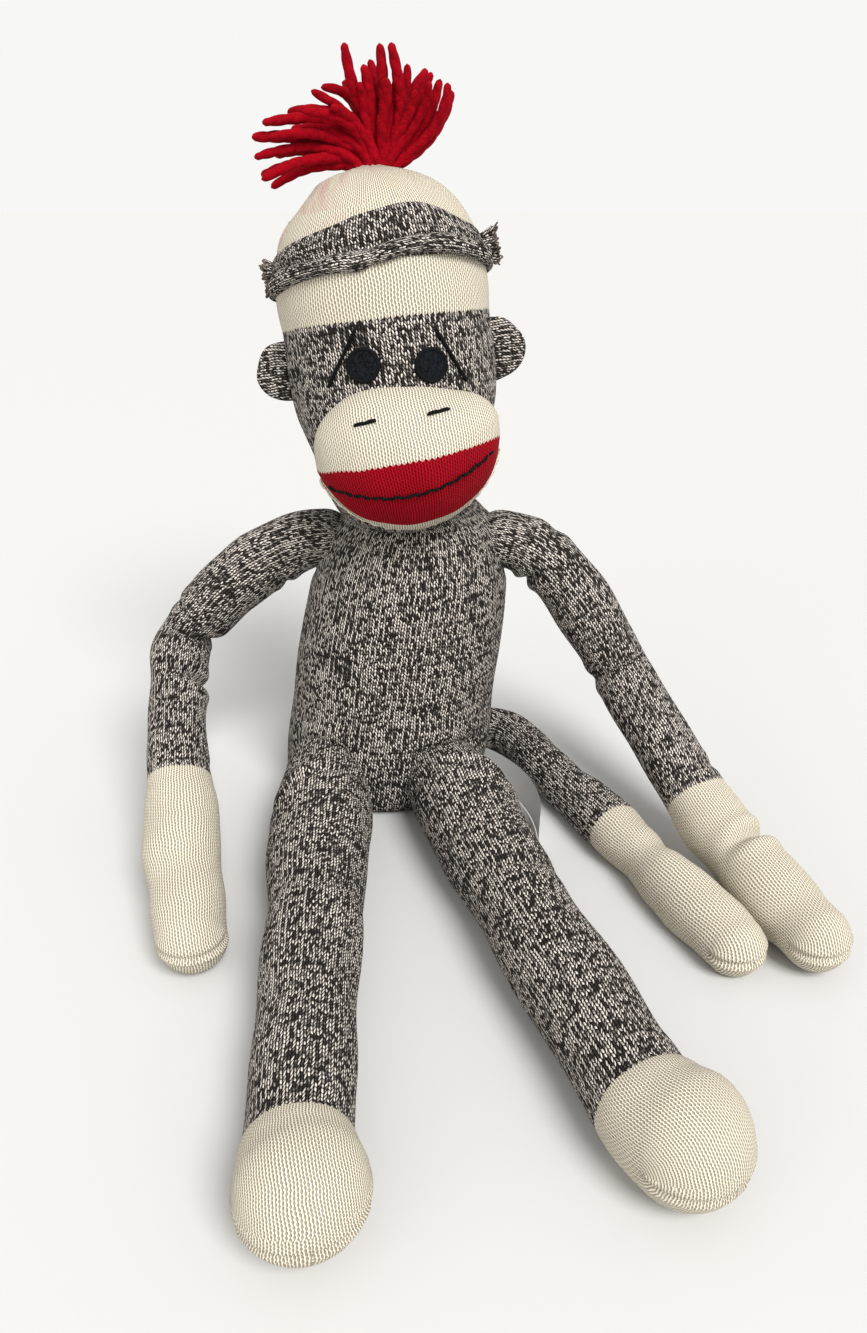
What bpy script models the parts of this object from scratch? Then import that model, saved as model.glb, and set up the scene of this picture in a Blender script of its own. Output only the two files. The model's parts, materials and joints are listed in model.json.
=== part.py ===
"""A seated sock monkey doll: stuffed knitted body, head, limbs and tail, with a hat and a sewn face.

Lengths are in metres, +Z is up, the doll faces -Y and +X is to the right of someone who looks at its face.
The origin is the middle of the flat that the doll sits on.
"""

import math

import bmesh
import bpy
from mathutils import Matrix, Vector

for leftover in list(bpy.data.objects):
    bpy.data.objects.remove(leftover, do_unlink=True)

# Gaps and cuts that every piece shares
GAP = 0.0003
JOINT_GAP = 0.0005
FLOOR_CUT = 0.0005

# Facets around each kind of form
BODY_SIDES = 28
LIMB_SIDES = 18
SMALL_SIDES = 14
BALL_SIDES = 24

# Torso, sitting on its flattened bottom
TORSO_HEIGHT = 0.161
TORSO_WIDTH = 0.108
TORSO_DEPTH = 0.080
SEAT_WIDTH = 0.088
SEAT_DEPTH = 0.062
TORSO_LEAN_RIGHT = math.radians(7.5)
TORSO_LEAN_BACK = math.radians(5.0)
# height share, then width share and depth share; the first rows go from the seat's size to the belly's
SEAT_ROUND_SHARE = 0.1
TORSO_BELLY_SHARES = [
    (0.018, 0.50, 0.50),
    (0.050, 0.84, 0.84),
    (0.100, 1.00, 1.00),
    (0.170, 1.01, 1.02),
    (0.340, 0.98, 1.01),
    (0.500, 0.98, 1.00),
    (0.650, 0.95, 0.98),
    (0.780, 0.90, 0.94),
    (0.870, 0.81, 0.87),
    (0.930, 0.68, 0.75),
    (0.970, 0.50, 0.56),
    (0.992, 0.27, 0.31),
]

# Head, on a frame that starts at the neck
NECK_HEIGHT = 0.150
NECK_SHIFT_RIGHT = -0.0045
HEAD_WIDTH = 0.0985
HEAD_DEPTH = 0.092
FACE_HEIGHT = 0.091
HEAD_HEIGHT = 0.157
HEAD_TURN = math.radians(6.0)
HEAD_LEAN_BACK = math.radians(9.8)
HEAD_LEAN_LEFT = math.radians(6.2)
# share of the face's height, then width share and depth share
FACE_SHARES = [
    (-0.06, 0.62, 0.62),
    (0.03, 0.80, 0.80),
    (0.12, 0.90, 0.90),
    (0.26, 0.97, 0.97),
    (0.45, 1.00, 1.00),
    (0.72, 1.00, 1.00),
    (1.00, 1.00, 1.00),
]
# share of the height from the hairline to the top of the hat, then width share and depth share
CROWN_SHARES = [
    (0.00, 1.000, 1.00),
    (0.14, 1.010, 1.00),
    (0.28, 0.995, 0.99),
    (0.42, 0.970, 0.96),
    (0.56, 0.915, 0.90),
    (0.70, 0.820, 0.80),
    (0.82, 0.665, 0.66),
    (0.91, 0.460, 0.47),
    (0.97, 0.260, 0.27),
]

# Hat
HAT_WALL = 0.0024
HAT_RIM_SHARE = 0.36
BRIM_HEIGHT = 0.0235
BRIM_BULGE = 0.0034
BRIM_START = 0.108
BRIM_TILT_BACK = math.radians(6.0)
BRIM_TILT_LEFT = math.radians(1.5)
# share of the brim's height, then share of its bulge: a thick roll below and a band that lies on the crown
BRIM_SHARES = [
    (0.00, -0.30),
    (0.05, 0.45),
    (0.13, 0.92),
    (0.22, 1.00),
    (0.30, 0.88),
    (0.37, 0.40),
    (0.44, 0.30),
    (0.58, -0.10),
    (0.74, -0.55),
    (0.88, -1.00),
    (1.00, -1.65),
]
TAB_REACH = 0.0085
TAB_HEIGHT = 0.019
TAB_THICKNESS = 0.011
TAB_UP_SHARE = 0.42

# Yarn tassel
TASSEL_LENGTH = 0.056
TASSEL_STRAND_THICKNESS = 0.0042
TASSEL_KNOT_WIDTH = 0.013
TASSEL_SIDES = 6
TASSEL_FAN = math.radians(38)
TASSEL_DROOP_SHARE = 0.16
TASSEL_MIDDLE_SHARE = 0.6
TASSEL_VARY_SHARE = 0.05
TASSEL_STEP_TURN = math.radians(137.5)
# angles from straight up of the first and the last strand, share of the length, number of strands
TASSEL_BUNDLE_SHARES = [
    (math.radians(-92), math.radians(-58), 0.98, 8),
    (math.radians(-54), math.radians(-20), 0.82, 6),
    (math.radians(-17), math.radians(8), 0.98, 6),
    (math.radians(25), math.radians(54), 0.90, 8),
]
STRAND_GIRTH_SHARES = [
    (0.00, TASSEL_STRAND_THICKNESS),
    (0.35, TASSEL_STRAND_THICKNESS),
    (0.70, TASSEL_STRAND_THICKNESS),
    (1.00, TASSEL_STRAND_THICKNESS),
]

# Ears, muzzle and the sewn face
EAR_REACH = 0.0155
EAR_HEIGHT = 0.029
EAR_THICKNESS = 0.0125
EAR_UP = 0.0732
MUZZLE_WIDTH = 0.084
MUZZLE_HEIGHT = 0.062
MUZZLE_DEPTH = 0.074
MUZZLE_UP = 0.031
MUZZLE_FORWARD = 0.036
MUZZLE_ROLL = math.radians(3.5)
LIP_TOP = 0.001
LIP_HEIGHT = 0.0285
EYE_DIAMETER = 0.0152
EYE_SPACING = 0.0296
EYE_UP = 0.0711
EYE_ROLL = math.radians(6.0)
FELT_THICKNESS = 0.0014
THREAD_WIDTH = 0.0013
THREAD_RISE = 0.0010
BROW_INNER = 0.0024
BROW_OUTER = 0.0155
BROW_ABOVE = 0.0145
BROW_BELOW = 0.0082
NOSTRIL_SPACING = 0.0315
NOSTRIL_LENGTH = 0.0095
NOSTRIL_UP = 0.0190
SMILE_WIDTH = 0.071
SMILE_SAG = 0.0085
SMILE_DROP = 0.0055
SMILE_POINTS = 9

# Arms, each a stuffed tube with a fold at the elbow and a cream mitten
SHOULDER_HEIGHT = 0.137
ARM_ROOT_DIAMETER = 0.028
ARM_DIAMETER = 0.0315
ELBOW_DIAMETER = 0.0275
WRIST_DIAMETER = 0.0305
PALM_DIAMETER = 0.0350
HAND_DIAMETER = 0.0340
HAND_TIP_DIAMETER = 0.0300
UPPER_ARM_LENGTH = 0.095
FOREARM_LENGTH = 0.079
HAND_LENGTH = 0.108
SHOULDER_SINK = 0.0005
SHOULDER_DISH_SLANT = math.radians(8)
HAND_BEND_SHARE = 0.26
UPPER_ARM_GIRTH_SHARES = [
    (0.00, ARM_ROOT_DIAMETER),
    (0.12, ARM_ROOT_DIAMETER),
    (0.32, ARM_DIAMETER),
    (0.55, ARM_DIAMETER),
    (0.80, ARM_DIAMETER),
]
FOREARM_GIRTH_SHARES = [
    (0.00, ELBOW_DIAMETER),
    (0.25, ARM_DIAMETER),
    (0.60, ARM_DIAMETER),
    (1.00, WRIST_DIAMETER),
]
HAND_GIRTH_SHARES = [
    (0.00, WRIST_DIAMETER),
    (0.20, PALM_DIAMETER),
    (0.45, HAND_DIAMETER),
    (0.75, HAND_DIAMETER),
    (1.00, HAND_TIP_DIAMETER),
]
# How each arm lies: splay of the upper arm, forearm and hand; heights as shares of the shoulder's height
# and how far it leaves the shoulder level, as a share of the upper arm
LEFT_ARM_SPLAYS = (math.radians(88), math.radians(-7), math.radians(-16.5))
LEFT_ARM_HEIGHT_SHARES = (0.60, 0.29)
LEFT_ARM_LEVEL_SHARE = 0.35
RIGHT_ARM_SPLAYS = (math.radians(83), math.radians(24.5), math.radians(21.5))
RIGHT_ARM_HEIGHT_SHARES = (0.49, 0.222)
RIGHT_ARM_LEVEL_SHARE = 0.27

# Legs, each a stuffed tube that folds at the hip and the knee, with a cream foot
HIP_SPACING = 0.061
LEFT_HIP_FORWARD = 0.029
RIGHT_HIP_FORWARD = 0.025
HIP_DIAMETER = 0.042
THIGH_DIAMETER = 0.048
KNEE_DIAMETER = 0.0405
ANKLE_DIAMETER = 0.0385
INSTEP_DIAMETER = 0.0412
FOOT_DIAMETER = 0.0440
THIGH_LENGTH = 0.108
LEFT_SHIN_LENGTH = 0.1105
RIGHT_SHIN_LENGTH = 0.1075
LEG_LENGTH = 0.258
THIGH_GIRTH_SHARES = [
    (0.00, HIP_DIAMETER),
    (0.25, THIGH_DIAMETER),
    (0.60, THIGH_DIAMETER),
]
SHIN_GIRTH_SHARES = [
    (0.00, KNEE_DIAMETER),
    (0.20, KNEE_DIAMETER),
    (0.60, KNEE_DIAMETER),
    (1.00, ANKLE_DIAMETER),
]
FOOT_GIRTH_SHARES = [
    (0.00, ANKLE_DIAMETER),
    (0.45, INSTEP_DIAMETER),
    (1.00, FOOT_DIAMETER),
]
# How each leg lies: splay of the thigh, the shin and the foot
LEFT_LEG_SPLAYS = (math.radians(-2.5), math.radians(-3.3), math.radians(-11))
RIGHT_LEG_SPLAYS = (math.radians(17.1), math.radians(19.6), math.radians(30))

# Folds: the upper piece ends a little short of the ball that the lower piece turns on, and the fold
# lines of a leg follow a share of its splay, because the fold at the hip runs across the doll
FOLD_SPLAY_SHARE = 0.5
FOLD_LIP_SHARE = 0.45
FOLD_STEPS = 6
BALL_SLOPES = [math.radians(slope) for slope in (-70, -50, -30, -10, 10, 30, 50, 70)]
FACET_HALF_ANGLE = math.radians(10)

# Tail, from the back of the seat round to the right
TAIL_DIAMETER = 0.0235
TAIL_TIP_DIAMETER = 0.0285
TAIL_WAIST_DIAMETER = 0.0245
TAIL_BULB_DIAMETER = 0.0295
TAIL_ROOT_OUT = 0.022
TAIL_ROOT_SINK = 0.004
TAIL_ROOT_RUN = 0.034
TAIL_BEND_RADIUS = 0.020
TAIL_MARL_RUN = 0.096
TAIL_TIP_LENGTH = 0.104
TAIL_SPLAY = math.radians(25.5)
TAIL_GIRTH_SHARES = [
    (0.00, TAIL_DIAMETER),
    (0.10, TAIL_DIAMETER),
    (0.20, TAIL_DIAMETER),
    (0.27, TAIL_DIAMETER),
    (0.34, TAIL_DIAMETER),
    (0.42, TAIL_DIAMETER),
    (0.70, TAIL_DIAMETER),
    (1.00, TAIL_TIP_DIAMETER),
]
TAIL_TIP_GIRTH_SHARES = [
    (0.00, TAIL_TIP_DIAMETER),
    (0.26, TAIL_WAIST_DIAMETER),
    (0.62, TAIL_BULB_DIAMETER),
    (0.85, TAIL_BULB_DIAMETER),
    (1.00, TAIL_TIP_DIAMETER),
]

# Blank satin strip, sewn in at the side of the seat, standing on edge and curled forward
LABEL_WIDTH = 0.019
LABEL_LENGTH = 0.075
LABEL_THICKNESS = 0.0008
LABEL_START_SPLAY = math.radians(50)
LABEL_END_SPLAY = math.radians(-8)
LABEL_BACK = -0.002
LABEL_POINTS = 10
SATIN_ROUGHNESS = 0.4
FABRIC_ROUGHNESS = 0.95

# How far each joint turns from the pose at rest
NECK_RANGE = (math.radians(-12), math.radians(15))
NECK_CUTS = 3
HIP_RANGE = (math.radians(-20), math.radians(90))
KNEE_RANGE = (math.radians(-30), math.radians(75))
LEFT_ELBOW_RANGE = (math.radians(-55), math.radians(5))
RIGHT_ELBOW_RANGE = (math.radians(-10), math.radians(60))

COLOURS = {
    "marl": (0.19, 0.155, 0.135),
    "cream": (0.78, 0.70, 0.58),
    "red": (0.50, 0.010, 0.020),
    "black": (0.012, 0.012, 0.014),
    "white": (0.80, 0.80, 0.78),
}

# Rounding of a stuffed end, and how finely a path is followed
END_ANGLES = (math.radians(23), math.radians(47), math.radians(70))
PATH_STEP_SHARE = 0.01
SHARP_ANGLE = math.radians(40)


# Small helpers for directions, sections and meshes

RIGHTWARD = Vector((1, 0, 0))
BACKWARD = Vector((0, 1, 0))
UPWARD = Vector((0, 0, 1))

def heading(splay, side):
    """Plan direction of a limb: straight ahead is -Y, and splay turns it towards its own side."""
    return Vector((side * math.sin(splay), -math.cos(splay), 0))


def link_end(start, length, splay, side, end_height):
    """The far end of a limb link of a given length that goes down or up to a given height."""
    drop = start.z - end_height
    run = math.sqrt(max(length * length - drop * drop, 0))
    return start + heading(splay, side) * run - Vector((0, 0, drop))


def mix(low, high, share):
    return low + (high - low) * share


def add_object(name, mesh, cutter=False):
    built = bpy.data.objects.new(name, mesh)
    bpy.context.scene.collection.objects.link(built)
    if cutter:
        built.hide_render = True
        built.display_type = 'WIRE'
    return built


def finish_mesh(bm, name):
    bmesh.ops.recalc_face_normals(bm, faces=bm.faces[:])
    mesh = bpy.data.meshes.new(name)
    bm.to_mesh(mesh)
    bm.free()
    mesh.shade_smooth()
    mesh.set_sharp_from_angle(angle=SHARP_ANGLE)
    return mesh


def paint(built, colour, roughness=FABRIC_ROUGHNESS):
    material = bpy.data.materials.new(built.name)
    material.use_nodes = True
    shader = material.node_tree.nodes["Principled BSDF"]
    shader.inputs["Base Color"].default_value = (*COLOURS[colour], 1)
    shader.inputs["Roughness"].default_value = roughness
    shader.inputs["Metallic"].default_value = 0
    built.data.materials.append(material)
    return built


def skin(bm, rings, start_tip=None, end_tip=None):
    """Join rings of points into one closed skin. An end without a tip point is closed flat."""
    loops = [[bm.verts.new(point) for point in ring] for ring in rings]
    sides = len(loops[0])
    for lower, upper in zip(loops, loops[1:]):
        for k in range(sides):
            after = (k + 1) % sides
            bm.faces.new((lower[k], lower[after], upper[after], upper[k]))
    for loop, tip in ((loops[0], start_tip), (loops[-1], end_tip)):
        if tip is None:
            bm.faces.new(loop)
            continue
        pole = bm.verts.new(tip)
        for k in range(sides):
            bm.faces.new((loop[k], loop[(k + 1) % sides], pole))


def ellipse(centre, across, through, half_across, half_through, sides):
    """Points round an ellipse in the plane of two unit vectors."""
    points = []
    for k in range(sides):
        angle = math.tau * k / sides
        aside = across * (half_across * math.cos(angle))
        points.append(centre + aside + through * (half_through * math.sin(angle)))
    return points


def cut(built, cutter, operation='DIFFERENCE'):
    step = built.modifiers.new(cutter.name, 'BOOLEAN')
    step.operation = operation
    step.solver = 'EXACT'
    step.object = cutter


def turned(angle, axis, pivot):
    """Rotation about a line through a pivot."""
    return Matrix.Translation(pivot) @ Matrix.Rotation(angle, 4, axis) @ Matrix.Translation(-pivot)


# Stuffed tubes: limbs, mittens, feet and tail

def bend(start, middle, end):
    """A smooth path from start to end that leaves along the line to the middle point."""
    return lambda share: start * (1 - share) ** 2 + middle * (2 * share * (1 - share)) + end * share ** 2


def straight(start, end):
    return lambda share: start.lerp(end, share)


class Tube:
    """A round stuffed tube along a path, with a ball at its root, and a flat or round far end."""

    def __init__(self, path, girth_shares, root_round, tip_round, sides=LIMB_SIDES):
        self.path = path
        self.girths = girth_shares
        self.root_round = root_round
        self.tip_round = tip_round
        self.sides = sides

    def direction(self, share):
        near = max(share - PATH_STEP_SHARE, 0)
        return (self.path(near + PATH_STEP_SHARE) - self.path(near)).normalized()

    def rings(self, grow):
        """Rings of the tube, from its root to its tip, and the poles of its round ends."""
        stations = [(self.path(share), self.direction(share), girth / 2) for share, girth in self.girths]
        rings = []
        start_tip = None
        end_tip = None
        side_line = self.direction(0).cross(UPWARD).normalized()
        first, ahead, radius = stations[0]
        if self.root_round:
            start_tip = first - ahead * (radius + grow)
            for angle in reversed(END_ANGLES):
                centre = first - ahead * ((radius + grow) * math.sin(angle))
                rings.append((centre, ahead, (radius + grow) * math.cos(angle)))
        for place, ahead, radius in stations:
            rings.append((place, ahead, radius + grow))
        last, ahead, radius = stations[-1]
        if self.tip_round:
            for angle in END_ANGLES:
                centre = last + ahead * ((radius + grow) * math.sin(angle))
                rings.append((centre, ahead, (radius + grow) * math.cos(angle)))
            end_tip = last + ahead * (radius + grow)
        loops = []
        for centre, ahead, radius in rings:
            across = (side_line - ahead * side_line.dot(ahead)).normalized()
            loops.append(ellipse(centre, across, ahead.cross(across), radius, radius, self.sides))
        return loops, start_tip, end_tip

    def mesh(self, name, grow=0, floor=False):
        bm = bmesh.new()
        loops, start_tip, end_tip = self.rings(grow)
        skin(bm, loops, start_tip, end_tip)
        if floor:
            trim_at_floor(bm)
        return finish_mesh(bm, name)


def trim_at_floor(bm):
    """Cut a form flat where it lies on the floor."""
    trim(bm, UPWARD * 0, -UPWARD)


def trim(bm, place, outward):
    """Take away what lies beyond a plane and close the cut."""
    everything = bm.verts[:] + bm.edges[:] + bm.faces[:]
    cut_parts = bmesh.ops.bisect_plane(bm, geom=everything, dist=GAP / 1000, plane_co=place, plane_no=outward,
                                       clear_outer=True)
    edges = [item for item in cut_parts["geom_cut"] if isinstance(item, bmesh.types.BMEdge)]
    if edges:
        bmesh.ops.edgeloop_fill(bm, edges=edges)


def fold_room(name, pivot, axis, tube, limits):
    """The solid that a tube's root sweeps through as it turns about a fold line, as one convex form."""
    low, high = limits
    ahead = tube.direction(0)
    reach = (tube.path(tube.girths[1][0]) - pivot).length
    facet_loss = math.cos(FACET_HALF_ANGLE)
    near = (tube.girths[0][1] / 2 + JOINT_GAP) / facet_loss
    far = (tube.girths[1][1] / 2 + JOINT_GAP) / facet_loss
    ring_line = axis.cross(ahead).normalized()
    other_line = axis.cross(ring_line)
    points = [pivot + axis * near, pivot - axis * near]
    for angle in BALL_SLOPES:
        centre = pivot + axis * (near * math.sin(angle))
        radius = near * math.cos(angle)
        points += ellipse(centre, ring_line, other_line, radius, radius, BALL_SIDES)
    for k in range(FOLD_STEPS + 1):
        aim = Matrix.Rotation(mix(low, high, k / FOLD_STEPS), 3, axis)
        across = aim @ ring_line
        along = aim @ ahead
        points += ellipse(pivot + along * reach, across, along.cross(across), far, far, LIMB_SIDES)
    bm = bmesh.new()
    for point in points:
        bm.verts.new(point)
    hull = bmesh.ops.convex_hull(bm, input=bm.verts[:])
    left_over = set(hull["geom_interior"] + hull["geom_unused"])
    spare = [item for item in left_over if isinstance(item, bmesh.types.BMVert)]
    bmesh.ops.delete(bm, geom=spare, context='VERTS')
    return add_object(name, finish_mesh(bm, name), cutter=True)


def with_lip(girth_shares, diameter, length):
    """A table of girths that ends at a fold, a little short of the ball that the next piece turns on."""
    return girth_shares + [(1 - FOLD_LIP_SHARE * diameter / 2 / length, diameter)]


def swing_room(name, pivot, axis, tube, slant=0):
    """The dish that a tube's root needs as it swings round its own line: a ball, then an open cone."""
    radius = tube.girths[0][1] / 2 + JOINT_GAP
    profile = [(-radius, 0)]
    steps = BALL_SIDES // 4
    for k in range(1, steps + 1):
        angle = mix(0, math.pi / 2 - slant, k / steps)
        profile.append((-radius * math.cos(angle), radius * math.sin(angle)))
    reach = radius * 2
    tangent = profile[-1]
    profile.append((tangent[0] + reach * math.cos(slant), tangent[1] + reach * math.sin(slant)))
    side_line = axis.orthogonal().normalized()
    other_line = axis.cross(side_line)
    rings = [ellipse(pivot + axis * along, side_line, other_line, out, out, BALL_SIDES)
             for along, out in profile[1:]]
    bm = bmesh.new()
    skin(bm, rings, start_tip=pivot + axis * profile[0][0])
    return add_object(name, finish_mesh(bm, name), cutter=True)


# Torso

def torso_centre(height):
    return Vector((height * math.tan(TORSO_LEAN_RIGHT), height * math.tan(TORSO_LEAN_BACK), height))


def torso_half_sizes(share):
    """Half width and half depth of the torso at a share of its height, from the table of shares."""
    seat = (0, 0, 0)
    table = [seat] + TORSO_BELLY_SHARES
    for (low, low_wide, low_deep), (high, high_wide, high_deep) in zip(table, table[1:]):
        if share <= high:
            break
    part = (share - low) / (high - low)
    wide = mix(low_wide, high_wide, part)
    deep = mix(low_deep, high_deep, part)
    if share < SEAT_ROUND_SHARE:
        return mix(SEAT_WIDTH, TORSO_WIDTH, wide) / 2, mix(SEAT_DEPTH, TORSO_DEPTH, deep) / 2
    return TORSO_WIDTH * wide / 2, TORSO_DEPTH * deep / 2


def torso_mesh(name, grow=0):
    rings = []
    shares = [0] + [row[0] for row in TORSO_BELLY_SHARES]
    for share in shares:
        wide, deep = torso_half_sizes(share)
        centre = torso_centre(TORSO_HEIGHT * share)
        if share == 0:
            centre = centre - Vector((0, 0, grow))
        rings.append(ellipse(centre, RIGHTWARD, BACKWARD, wide + grow, deep + grow, BODY_SIDES))
    bm = bmesh.new()
    skin(bm, rings, end_tip=torso_centre(TORSO_HEIGHT) + Vector((0, 0, grow)))
    return finish_mesh(bm, name)


# Head, on its own leaning frame

NECK = torso_centre(NECK_HEIGHT) + RIGHTWARD * NECK_SHIFT_RIGHT
HEAD_FRAME = (Matrix.Translation(NECK)
              @ Matrix.Rotation(-HEAD_LEAN_LEFT, 4, 'Y')
              @ Matrix.Rotation(-HEAD_LEAN_BACK, 4, 'X')
              @ Matrix.Rotation(HEAD_TURN, 4, 'Z'))
NECK_PIVOT = torso_centre(SHOULDER_HEIGHT)
NECK_AXIS = RIGHTWARD


def head_rings(rows, grow):
    rings = []
    for up, wide, deep in rows:
        rings.append(ellipse(UPWARD * up, RIGHTWARD, BACKWARD, wide + grow, deep + grow, BODY_SIDES))
    return rings


def face_mesh(name, grow=0):
    rows = [(FACE_HEIGHT * share, HEAD_WIDTH * wide / 2, HEAD_DEPTH * deep / 2)
            for share, wide, deep in FACE_SHARES]
    low, low_wide, low_deep = rows[0]
    rows[0] = (low - grow, low_wide, low_deep)
    top, top_wide, top_deep = rows[-1]
    rows[-1] = (top + grow, top_wide, top_deep)
    bm = bmesh.new()
    skin(bm, head_rings(rows, grow))
    bm.transform(HEAD_FRAME)
    return finish_mesh(bm, name)


def crown_rows(start_share, inset):
    """Rows of the dome above the hairline, from a share of its height up, drawn in by the hat's wall."""
    height = HEAD_HEIGHT - FACE_HEIGHT
    rows = []
    for share, wide, deep in CROWN_SHARES:
        if share < start_share:
            continue
        drawn_in = inset * min(1, share / HAT_RIM_SHARE)
        up = FACE_HEIGHT + (height - drawn_in) * share
        rows.append((up, HEAD_WIDTH * wide / 2 - drawn_in, HEAD_DEPTH * deep / 2 - drawn_in))
    return rows, FACE_HEIGHT + height - inset


def crown_mesh(name, start_share, inset, grow=0, bottom_gap=0):
    rows, top = crown_rows(start_share, inset)
    low, low_wide, low_deep = rows[0]
    rows[0] = (low + bottom_gap - grow, low_wide, low_deep)
    bm = bmesh.new()
    skin(bm, head_rings(rows, grow), end_tip=Vector((0, 0, top + grow)))
    bm.transform(HEAD_FRAME)
    return finish_mesh(bm, name)


BRIM_FRAME = (HEAD_FRAME
              @ Matrix.Translation(UPWARD * BRIM_START)
              @ Matrix.Rotation(-BRIM_TILT_LEFT, 4, 'Y')
              @ Matrix.Rotation(-BRIM_TILT_BACK, 4, 'X'))


def brim_mesh(name, grow=0):
    rows = []
    for share, bulge in BRIM_SHARES:
        out = BRIM_BULGE * bulge
        rows.append((BRIM_HEIGHT * share, HEAD_WIDTH / 2 + out, HEAD_DEPTH / 2 + out))
    bm = bmesh.new()
    skin(bm, head_rings(rows, grow))
    bm.transform(BRIM_FRAME)
    return finish_mesh(bm, name)


def ellipsoid_mesh(name, frame, half_sizes, grow=0, segments=BODY_SIDES, rows=BODY_SIDES // 2):
    wide, deep, high = [half + grow for half in half_sizes]
    bm = bmesh.new()
    bmesh.ops.create_uvsphere(bm, u_segments=segments, v_segments=rows, radius=wide)
    bm.transform(frame @ Matrix.Diagonal((1, deep / wide, high / wide, 1)))
    return finish_mesh(bm, name)


# Muzzle

MUZZLE_FRAME = (HEAD_FRAME
                @ Matrix.Translation(Vector((0, -MUZZLE_FORWARD, MUZZLE_UP)))
                @ Matrix.Rotation(-MUZZLE_ROLL, 4, 'Y'))
MUZZLE_HALVES = (MUZZLE_WIDTH / 2, MUZZLE_DEPTH / 2, MUZZLE_HEIGHT / 2)


def muzzle_slice(name, low, high):
    """One level slice of the muzzle's dome; a missing limit leaves that end round."""
    wide, deep, tall = MUZZLE_HALVES
    bm = bmesh.new()
    bmesh.ops.create_uvsphere(bm, u_segments=BODY_SIDES, v_segments=BODY_SIDES // 2, radius=wide)
    bm.transform(Matrix.Diagonal((1, deep / wide, tall / wide, 1)))
    if high is not None:
        trim(bm, UPWARD * high, UPWARD)
    if low is not None:
        trim(bm, UPWARD * low, -UPWARD)
    bm.transform(MUZZLE_FRAME)
    built = add_object(name, finish_mesh(bm, name))
    cut(built, FACE_CUTTER)
    return built


# Sewn pieces: flat shapes stamped out of a thin skin round what carries them

def ribbon(points, width):
    """Outline of a strip of one width that follows a line of points (x, z)."""
    left = []
    right = []
    for k, (x, z) in enumerate(points):
        x_before, z_before = points[max(k - 1, 0)]
        x_after, z_after = points[min(k + 1, len(points) - 1)]
        ahead = Vector((x_after - x_before, z_after - z_before)).normalized()
        left.append((x - ahead.y * width / 2, z + ahead.x * width / 2))
        right.append((x + ahead.y * width / 2, z - ahead.x * width / 2))
    return left + right[::-1]


def stamp(name, outline, frame, depth, host_mesh, thickness, colour):
    """Push an outline (x, z) back through a host's skin and keep the layer that lies on the host."""
    bm = bmesh.new()
    front = [bm.verts.new((x, -depth, z)) for x, z in outline]
    back = [bm.verts.new((x, 0, z)) for x, z in outline]
    bm.faces.new(front)
    bm.faces.new(back[::-1])
    for k in range(len(outline)):
        after = (k + 1) % len(outline)
        bm.faces.new((front[k], back[k], back[after], front[after]))
    bm.transform(frame)
    built = add_object(name, finish_mesh(bm, name))
    outer = add_object(name + "_outer", host_mesh(name + "_outer", GAP + thickness), cutter=True)
    inner = add_object(name + "_inner", host_mesh(name + "_inner", GAP), cutter=True)
    cut(built, outer, 'INTERSECT')
    cut(built, inner)
    return paint(built, colour)


# Build the torso and the head

torso = paint(add_object("torso", torso_mesh("torso")), "marl")

face = paint(add_object("head", face_mesh("head")), "marl")
FACE_CUTTER = add_object("head_cutter", face_mesh("head_cutter", GAP), cutter=True)
for step in range(NECK_CUTS + 1):
    angle = mix(-NECK_RANGE[1], -NECK_RANGE[0], step / NECK_CUTS)
    name = f"torso_under_head_{step}"
    under_head = add_object(name, torso_mesh(name, JOINT_GAP), cutter=True)
    under_head.matrix_world = turned(angle, NECK_AXIS, NECK_PIVOT)
    cut(face, under_head)

# The head goes on under the hat as a cream dome; the hat's crown and brim are pulled over it
paint(add_object("forehead_band", crown_mesh("forehead_band", 0, HAT_WALL, bottom_gap=GAP)), "cream")
grown = crown_mesh("forehead_cutter", 0, HAT_WALL, grow=GAP)
FOREHEAD_CUTTER = add_object("forehead_cutter", grown, cutter=True)

crown = paint(add_object("hat_crown", crown_mesh("hat_crown", HAT_RIM_SHARE, 0)), "cream")
cut(crown, FOREHEAD_CUTTER)
grown = crown_mesh("crown_cutter", HAT_RIM_SHARE, 0, grow=GAP)
CROWN_CUTTER = add_object("crown_cutter", grown, cutter=True)

brim = paint(add_object("hat_brim", brim_mesh("hat_brim")), "marl")
cut(brim, CROWN_CUTTER)
cut(brim, FOREHEAD_CUTTER)
BRIM_CUTTER = add_object("brim_cutter", brim_mesh("brim_cutter", GAP), cutter=True)

for word, side in (("left", -1), ("right", 1)):
    tab_place = Vector((side * HEAD_WIDTH / 2, 0, BRIM_HEIGHT * TAB_UP_SHARE))
    tab_frame = BRIM_FRAME @ Matrix.Translation(tab_place)
    tab_halves = (TAB_REACH, TAB_THICKNESS / 2, TAB_HEIGHT / 2)
    tab_mesh = ellipsoid_mesh("brim_tab", tab_frame, tab_halves, segments=SMALL_SIDES, rows=SMALL_SIDES // 2)
    tab = add_object(f"brim_tab_{word}", tab_mesh)
    cut(tab, BRIM_CUTTER)
    cut(tab, CROWN_CUTTER)
    cut(tab, FOREHEAD_CUTTER)
    paint(tab, "marl")

    ear_frame = HEAD_FRAME @ Matrix.Translation(Vector((side * HEAD_WIDTH / 2, 0, EAR_UP)))
    ear_halves = (EAR_REACH, EAR_THICKNESS / 2, EAR_HEIGHT / 2)
    ear_mesh = ellipsoid_mesh("ear", ear_frame, ear_halves, segments=LIMB_SIDES, rows=LIMB_SIDES // 2)
    ear = add_object(f"ear_{word}", ear_mesh)
    cut(ear, FACE_CUTTER)
    paint(ear, "marl")


# Tassel of thick yarn, tied at the top of the hat

TASSEL_ROOT = HEAD_FRAME @ (UPWARD * (HEAD_HEIGHT + TASSEL_KNOT_WIDTH / 4))


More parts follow.
